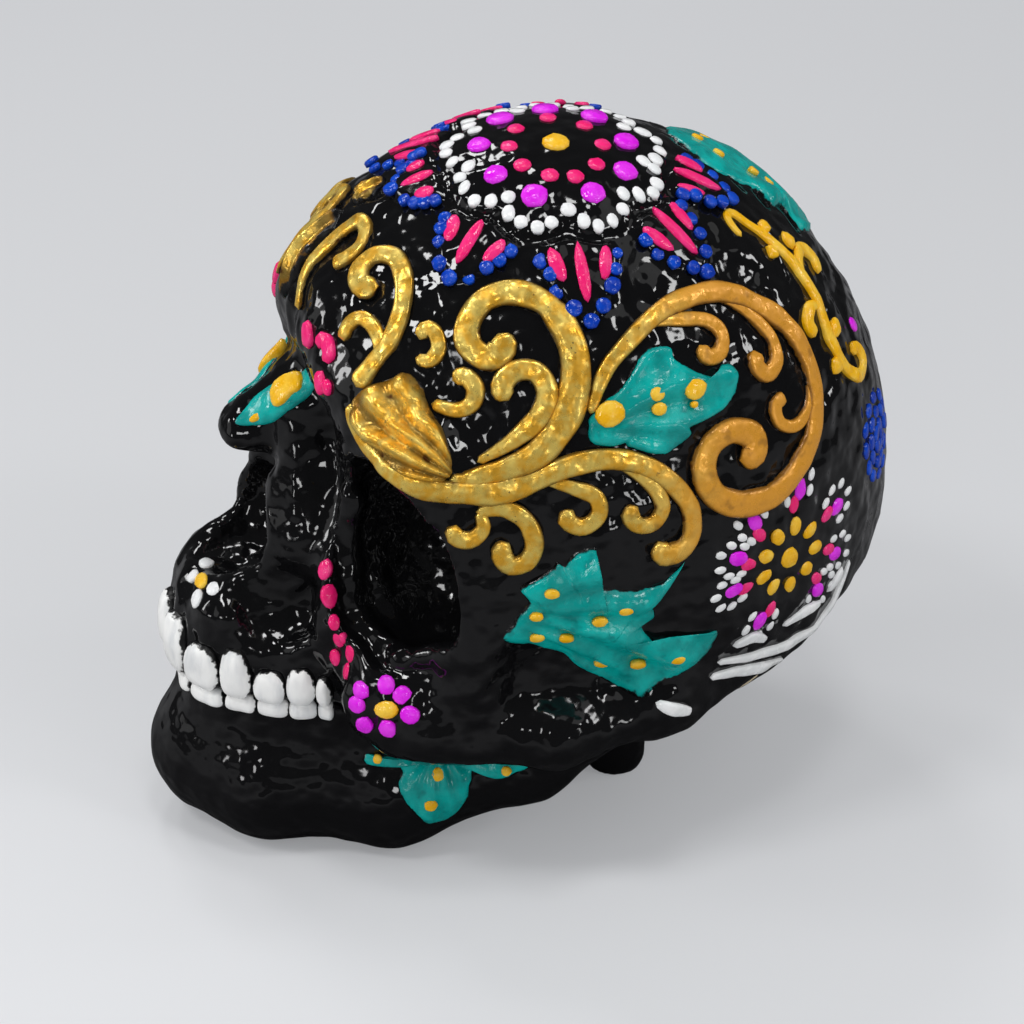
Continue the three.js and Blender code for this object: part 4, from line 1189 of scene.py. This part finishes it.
def on_gum(field, arch):
    """Places by length along the gum and height: the curve's run gives x, then march inwards."""
    x = np.linspace(0, arch[2] * GUM_RUN[0], GUM_RUN[1])
    run = np.concatenate([[0], np.cumsum(np.hypot(np.diff(x), np.diff(arch_y(arch, x))))])

    def place(uv):
        across = np.interp(uv[:, 0], run, x)
        out = np.stack([arch_slope(arch, across), -np.ones(len(uv)), np.zeros(len(uv))], -1)
        out = out / length(out)[:, None]
        p = np.stack([across, arch_y(arch, across), uv[:, 1]], -1) + BEFORE_GUM * out
        for _ in range(GUM_MARCH):
            p = p - out * CAUTION * field(p)[:, None]
        return p
    return place


def tooth(place, field, along, middle, width, height, bulge, taper):
    """A pad whose outline is a squared circle, narrower towards its root by the taper."""
    angle = np.linspace(0, 2 * np.pi, TOOTH_SIDES, endpoint=False)
    across = np.sign(np.cos(angle)) * np.abs(np.cos(angle)) ** TOOTH_SQUARE[0]
    rise = np.sign(np.sin(angle)) * np.abs(np.sin(angle)) ** TOOTH_SQUARE[1]
    across = across * (1 - taper * np.clip(rise, 0, 1))
    outline = np.stack([along + across * width / 2, middle + rise * height / 2], -1)

    def dome(share, u, v):
        return bulge * np.sqrt(np.maximum(1 - share ** TOOTH_SHOULDER, 0)) + TOOTH_EDGE
    return pad(place, field, (along, middle), outline, dome, TOOTH_RINGS)


ROWS = [  # name, gum, field, way from the bite, gap, share of the width, height, bulge, taper
    ("upper_", on_gum(skull, UPPER_ARCH), skull, 1, 0.0, 1, None, 1.9, 0.22),
    ("lower_", on_gum(jaw_bone, LOWER_ARCH), jaw_bone, -1, 0.35, 0.97, 3.7, 1.5, 0.0)]
for name, along, width, height in TEETH:
    for row, place, field, way, gap, share, own, bulge, taper in ROWS:
        tall = own or height
        shape = tooth(place, field, along * share, BITE + way * (gap + tall / 2), width * share,
                      tall, bulge, taper)
        lay_pair(row + name, shape, ivory, "painted_")
print("teeth:", 2 * len(ROWS) * len(TEETH))

# %% [markdown]
# ## Dots of enamel
# Hundreds of dots make the flowers. Each is a small dome set on the surface, round or drawn out
# towards a second point. All the dots of one colour are one mesh, worked out as one array.

# %% Enamel paints
PINK = (colour(248, 28, 116), colour(252, 56, 136))
MAGENTA = (colour(228, 22, 236), colour(238, 60, 244))
BLUE = (colour(2, 54, 172), colour(8, 78, 206))
YELLOW = (colour(248, 184, 4), colour(255, 208, 70))
PEARL = (colour(236, 238, 238), colour(250, 250, 250))


def enamel(name, shades):
    """Glossy paint whose colour drifts between two shades, with a slightly wavy surface."""
    look = Look(name)
    look.shade(Base_Color=look.mix(look.ramp(look.noise(3, 3), 0.35, 0.7), *shades),
               Roughness=look.ramp(look.noise(2.5), 0.3, 0.7, 0.12, 0.3))
    look.bump(look.noise(1.4, 2), 0.25)
    return look


paints = {name: enamel(name + "_enamel", shades) for name, shades in (
    ("pink", PINK), ("magenta", MAGENTA), ("blue", BLUE), ("yellow", YELLOW), ("white", PEARL))}
print("enamels:", ", ".join(paints))

# %% A dome for every dot
DOME = np.array([(1.0, -1.0), (1.0, 0.3), (0.8, 0.88)])  # radius, height share
DOME_SIDES = 12
DOME_RISE = 0.22  # height as a share of the radius
PAINT = 0.15  # thickness of paint under the dome
WOBBLE = 0.035  # how far a dot's outline strays from round
RANDOM = np.random.default_rng(5)
dots = {name: [] for name in paints}


def dot(paint, centres, radius, long=None, toward=None, lift=0.0, both=True, field=skull):
    """Notes dots of a radius at points, drawn out to long along the way to toward."""
    centres = np.atleast_2d(centres)
    toward = centres + [0, 0, 1] if toward is None else np.atleast_2d(toward)
    for turn in (1, -1) if both else (1,):
        mirror = np.array([turn, 1, 1])
        spread = np.ones((len(centres), 1))
        dots[paint].append(np.concatenate([
            centres * mirror, toward * mirror * spread, spread * np.reshape(radius, (-1, 1)),
            spread * np.reshape(radius if long is None else long, (-1, 1)),
            spread * lift, spread * (field is not skull)], 1))


def count_dots():
    """Dots noted so far, of all colours."""
    return sum(len(rows) for noted in dots.values() for rows in noted)


def dome_mesh(rows):
    """Rings of the dome, scaled by each dot's two radii, turned to its own normal."""
    centre, toward = rows[:, :3], rows[:, 3:6]
    radius, long, lift = rows[:, 6], rows[:, 7], rows[:, 8]
    on_jaw_too = rows[:, 9] > 0
    up = np.where(on_jaw_too[:, None], normals(jaw, centre), normals(skull, centre))
    ahead = toward - centre
    ahead = ahead - up * (ahead * up).sum(-1)[:, None]
    ahead = ahead / np.maximum(length(ahead), 1e-6)[:, None]
    side = np.cross(up, ahead)
    angle = np.arange(DOME_SIDES) * 2 * np.pi / DOME_SIDES
    wobble = 1 + WOBBLE * RANDOM.standard_normal((len(rows), 1, DOME_SIDES))
    ring = DOME[None, :, None, 0] * wobble
    x = (ring * np.cos(angle)) * long[:, None, None]
    y = (ring * np.sin(angle)) * radius[:, None, None]
    tall = PAINT + DOME_RISE * radius
    level = DOME[None, :, 1] * tall[:, None]
    level[:, 0] = SUNK
    stand = ground(centre) + lift
    level = level + stand[:, None]
    points = (centre[:, None, None] + ahead[:, None, None] * x[..., None]
              + side[:, None, None] * y[..., None]
              + up[:, None, None] * level[:, :, None, None])
    peak = centre + up * (stand + tall)[:, None]
    count = len(DOME) * DOME_SIDES + 1
    points = np.concatenate([points.reshape(len(rows), -1, 3), peak[:, None]], 1).reshape(-1, 3)
    i = np.arange(DOME_SIDES)
    j = (i + 1) % DOME_SIDES
    level_start = np.arange(len(DOME) - 1)[:, None] * DOME_SIDES
    quads = np.stack([level_start + i, level_start + j, level_start + DOME_SIDES + j,
                      level_start + DOME_SIDES + i], -1).reshape(-1, 4).tolist()
    last = (len(DOME) - 1) * DOME_SIDES
    caps = np.stack([last + i, last + j, np.full(DOME_SIDES, count - 1)], -1).tolist()
    one = quads + caps + [i[::-1].tolist()]
    faces = [[k + n * count for k in face] for n in range(len(rows)) for face in one]
    return points, faces


print("a dot has", len(DOME) * DOME_SIDES + 1, "points")


# %% [markdown]
# ## The mandala on the crown
# Paint follows the raised flower: a yellow middle and a ring of pink, a magenta dot on every
# lobe with a chain of white round its edge, and on every petal three pink strokes inside a V of
# blue dots. Places are across and out from the flower's middle along a bearing, in degrees.

# %% Mandala
EYE = 2.5  # radius of the yellow middle
PINK_RING = np.array([-50, -9, 30, 66, 96, 130, 170, 215, 262])
PINK_OUT = 7
PINK_DOT = 1.6
LOBE_DOT = 2.35
LOBE_DOT_OUT = LOBE_OUT - 0.8
WHITE_TURNS = [-84, -50, -17, 17, 50]
WHITE_OUT = 4.3
WHITE_DOT = (1.25, 1.5)
# strokes and dots of a petal: places and half lengths are shares of its length
MIDDLE_STROKE = {"place": 0.36, "long": 0.36, "radius": 1.15}
SIDE_STROKE = {"place": 0.27, "long": 0.21, "radius": 1.25, "across": 0.6}
BLUE_ALONG = np.array([0.16, 0.36, 0.57, 0.78])
BLUE_INSET = 0.5
BLUE_DOT = 1.3
TIP_INSET = 0.6
TIP_DOT = 1.45
BEYOND = 8  # strokes aim at a point this far past the tip
DEGREE = 1.22  # millimetres of surface to a degree, on the crown
EDGE_LIFT = 0.4  # dots on a petal's edge ride up its step


def rosette(axes, bearings, angles):
    """Points on the skull at bearings and angles from a flower's middle."""
    axis, first, second = axes
    b, a = np.radians(np.broadcast_arrays(np.asarray(bearings, float), np.asarray(angles, float)))
    ways = (axis * np.cos(a)[:, None]
            + (first * np.cos(b)[:, None] + second * np.sin(b)[:, None]) * np.sin(a)[:, None])
    return cast(skull, HEART, ways)


def on_flower(bearing, across, out, drift=0.2):
    """Points across and out along a bearing, each a little off, as a hand sets them."""
    across, out = np.broadcast_arrays(np.atleast_1d(across), np.atleast_1d(out))
    across = across + RANDOM.normal(0, drift, across.shape)
    out = out + RANDOM.normal(0, drift, out.shape)
    return rosette(FLOWER_AXES, bearing + np.degrees(np.arctan2(across, out)),
                   np.hypot(across, out))


def near(value, share, count):
    """Several sizes about a value, as a hand makes them."""
    return value * (1 + RANDOM.normal(0, share, count))


dot("yellow", rosette(FLOWER_AXES, [0], [0]), EYE, both=False)
dot("pink", rosette(FLOWER_AXES, PINK_RING, near(PINK_OUT, 0.04, len(PINK_RING))), PINK_DOT,
    both=False)
turns = np.radians(WHITE_TURNS)
for lobe in LOBES:
    dot("magenta", on_flower(lobe, 0, LOBE_DOT_OUT), near(LOBE_DOT, 0.06, 1), both=False)
    dot("white", on_flower(lobe, WHITE_OUT * np.sin(turns), LOBE_OUT + WHITE_OUT * np.cos(turns)),
        near(WHITE_DOT[0], 0.1, len(turns)), near(WHITE_DOT[1], 0.1, len(turns)), both=False)
for middle, tip, half_width in PETALS:
    span = tip - PETAL_BASE
    aim = on_flower(middle, 0, tip + BEYOND)
    stroke = MIDDLE_STROKE
    dot("pink", on_flower(middle, 0, PETAL_BASE + stroke["place"] * span), stroke["radius"],
        stroke["long"] * span * DEGREE, aim, both=False)
    stroke = SIDE_STROKE
    sides = np.array([-1, 1]) * stroke["across"] * half_width
    dot("pink", on_flower(middle, sides, PETAL_BASE + stroke["place"] * span),
        near(stroke["radius"], 0.1, 2), stroke["long"] * span * DEGREE, aim, both=False)
    across = half_width * np.interp(BLUE_ALONG, PETAL_LENGTHS, PETAL_WIDTHS) - BLUE_INSET
    out = PETAL_BASE + BLUE_ALONG * span
    for turn in (-1, 1):
        dot("blue", on_flower(middle, turn * across, out), near(BLUE_DOT, 0.08, len(out)),
            lift=EDGE_LIFT, both=False)
    dot("blue", on_flower(middle, 0, tip - TIP_INSET), TIP_DOT, lift=EDGE_LIFT, both=False)
print("mandala:", count_dots(), "dots")

# %% [markdown]
# ## Flowers and small dots
# The other flowers and dots are placed one by one on the map; most repeat on the right side.

# %% Flowers of the sides and the face
BACK_FLOWER = (123.4, -1.9)
BLUE_ROSE = (155, 9.5)
MAXILLA = np.array([0, -66, 42])  # a point inside the upper jaw, to place the flower on it
petals = np.array([-43, -75, -106, -159, 136, 105, 61, 8])


def side_axes(middle):
    """Axes of a flower whose bearings count from straight up, against the clock."""
    axis, upward, turned = flower_axes(middle, (0, 0, 1))
    return axis, upward, -turned


back_axes = side_axes(BACK_FLOWER)
back_middle = on_skull([BACK_FLOWER])
dot("yellow", back_middle, 2.1, 2.5, rosette(back_axes, [-40], [9]))
dot("yellow", rosette(back_axes, np.arange(9) * 40 + 10, 6.6), 1.4, 1.9, back_middle)
dot("pink", rosette(back_axes, petals - 3, 11.2), 1.2, 1.8, back_middle)
dot("magenta", rosette(back_axes, petals + 3, 14), 1.45, 2.1, back_middle)
for bearing, angle in ((-12, 12.4), (-12, 15.2), (-6, 17.6), (4, 18.2), (12, 16.6), (14, 13.6)):
    dot("white", rosette(back_axes, petals + bearing, angle), 0.8, 1.2, back_middle)

dot("yellow", on_skull([(42, -21.5)]), 1.7, 2.3, on_skull([(50, -21.5)]))
dot("magenta", on_skull([(36.8, -19.6), (41, -18.6), (44.1, -19.8), (36.6, -21.4), (46.3, -22),
                         (38.2, -24.3), (42.5, -24.2)]), 1.7, 1.9,
    on_skull([(42, -21.5)]))
flower_middle = cast(skull, MAXILLA, direction([(24, 46)]))
flower_petals = cast(skull, MAXILLA, direction([(2, 52), (9, 44), (41, 45), (32, 37)]))
dot("yellow", flower_middle, 1.5, 2.4, flower_petals[:2].mean(0), both=False)
dot("white", flower_petals, 1.5, 1.9, flower_middle, both=False)
tears = [(24.8, -2.9, 1.4), (26.8, -7.2, 1.6), (28.3, -11.6, 1.1), (28.8, -15.2, 1.2),
         (29.9, -14.5, 0.8), (27.7, -19.1, 1.3), (31.7, -16.8, 1.3), (31.3, -19.6, 1.2)]
for lon, lat, size in tears:
    dot("pink", on_skull([(lon, lat)]), size, size * 1.45, on_skull([(lon, lat - 8)]))
rose_axes = side_axes(BLUE_ROSE)
for count, angle in ((12, 7.2), (9, 4.6), (5, 2.1)):
    dot("blue", rosette(rose_axes, np.arange(count) * 360 / count + 9 * angle, angle), 1.25, 1.7,
        rosette(rose_axes, np.arange(count) * 360 / count + 9 * angle + 20, angle))
dot("magenta", on_skull([(157, 30.5)]), 1.3, 1.8, on_skull([(160, 26)]))
print("with the flowers:", count_dots(), "dots")

# %% Dots on the leaves
LEAF_LIFT = 1.7  # height of a leaf's paint above the skull
JAW_LEAF_LIFT = 1.1
AHEAD = 9  # degrees towards the back, the way the dots are drawn out
TEMPLE_DOTS = [(82.6, 35.5, 2.7), (93.5, 38, 1.5), (102.5, 37.5, 2.1), (93.6, 35.4, 1.4),
               (101.6, 35, 0.7)]
EAR_DOTS = [(71, 1.5, 1.2), (68, -3.4, 1.1), (68, -8, 1.2), (74, -9, 1.2), (80.4, -5.6, 1.3),
            (85.6, -3.6, 1.2), (82, -18.7, 1.3), (90, -19.5, 1.4), (98, -18, 1.3)]
JAW_DOTS = [(46.8, 21.4, 0.9), (75.6, 22.7, 1.6), (80.2, 13.5, 1.4), (75.3, -2, 1.3),
            (111.7, 14.2, 1.0)]
for noted, slim, long, tilt in ((TEMPLE_DOTS, 0.85, 1, 1), (EAR_DOTS, 0.75, 1.15, 0)):
    for lon, lat, size in noted:
        dot("yellow", on_skull([(lon, lat)]), size * slim, size * long,
            on_skull([(lon + AHEAD, lat + tilt)]), LEAF_LIFT)
for lon, lat, size in JAW_DOTS:
    dot("yellow", on_jaw([(lon, lat)]), size, size, None, JAW_LEAF_LIFT, field=jaw)
dot("yellow", on_skull([(4.6, 18.3)]), 0.7, 1.5, on_skull([(6.5, 22)]), 1.0)
dot("yellow", on_skull([(180, 53), (174, 58), (186, 58), (172, 65), (188, 65), (180, 68)]), 1.2,
    lift=1.3, both=False)
print("with the leaves:", count_dots(), "dots")

# %% All the domes
for name, noted in dots.items():
    rows = np.concatenate(noted)
    points, faces = dome_mesh(rows)
    piece(name + "_dots", points, faces, paints[name])
    print(name, len(rows), "dots")

# %% [markdown]
# ## Strokes
# Short thick strokes of the same enamels: pink beside the root of the nose, a yellow one on the
# nose leaf, a curling yellow vine with small leaves on the back of the head, and loose white
# flourishes below it. A cord serves again, thinner than the gold.


# %% Brush strokes
def strokes(name, paint, paths, widths, rise=0.45, lift=0.0):
    """Cords of enamel along several paths, as one piece on each side."""
    made = join([cord(on_skull(path), widths, rise, lift=lift) for path in paths])
    for side, turn in (("left", 1), ("right", -1)):
        lay(name + "_" + side, made, paints[paint], turn=turn)
    print(name, len(made[0]), "points a side")


strokes("nose_root_strokes", "pink", [
    [(15.4, 38.5), (16.2, 36.4), (17, 34.6)],
    [(20.4, 35.6), (21, 37.2), (23.4, 36.4), (24.9, 34.4)],
    [(23.6, 33), (23.4, 31.2), (25.4, 30.3)],
    [(25, 30.6), (27, 31.8)]], [2.6, 3.2, 3])
strokes("nose_leaf_stroke", "yellow", [
    [(5.8, 22), (7, 24), (7.6, 26), (9.4, 28.6)], [(7, 24.4), (9, 25.4)]], [4.2, 5.2, 4.6, 4.8],
    0.3, 1.0)
strokes("yellow_flourish", "yellow", [
    [(136, 56.5), (136.5, 60), (140.5, 60), (144, 54.5), (147, 47.5), (147, 40.5), (145, 34),
     (146.3, 27.5), (150.5, 23.5), (154, 24.5), (153.8, 27.5), (151, 28)],
    [(147, 44), (150.5, 47), (155, 47.2), (157, 44.2), (154.6, 42)],
    [(146.8, 39), (143, 40.2), (139.8, 38.4), (140.6, 35.6)]], [1.5, 2, 2.7, 2.6, 2.6, 2.2])
strokes("yellow_leaves", "yellow", [
    [(144.6, 54.2), (149.5, 55.5)], [(144.6, 51.6), (140.6, 51)], [(146, 33), (150.4, 35)],
    [(145.6, 29.6), (141.6, 28)], [(150.6, 48.6), (153.4, 51.6)]], [1.6, 3.2, 1.2])
strokes("white_flourish", "white", [
    [(143.5, -10.5), (141.5, -16.5), (137, -21.5), (131, -23.5), (120, -24), (109, -23)],
    [(135, -16), (129, -16.5), (125, -18.5)],
    [(130, -29), (119, -27.5), (107.5, -26)],
    [(140.5, -10.5), (136.5, -14.5)],
    [(112, -19.5), (116.5, -18.5), (121, -20.5)],
    [(93.5, -27), (97, -28), (102, -30)]], [1.3, 2.4, 2.7, 2.2, 1.4])
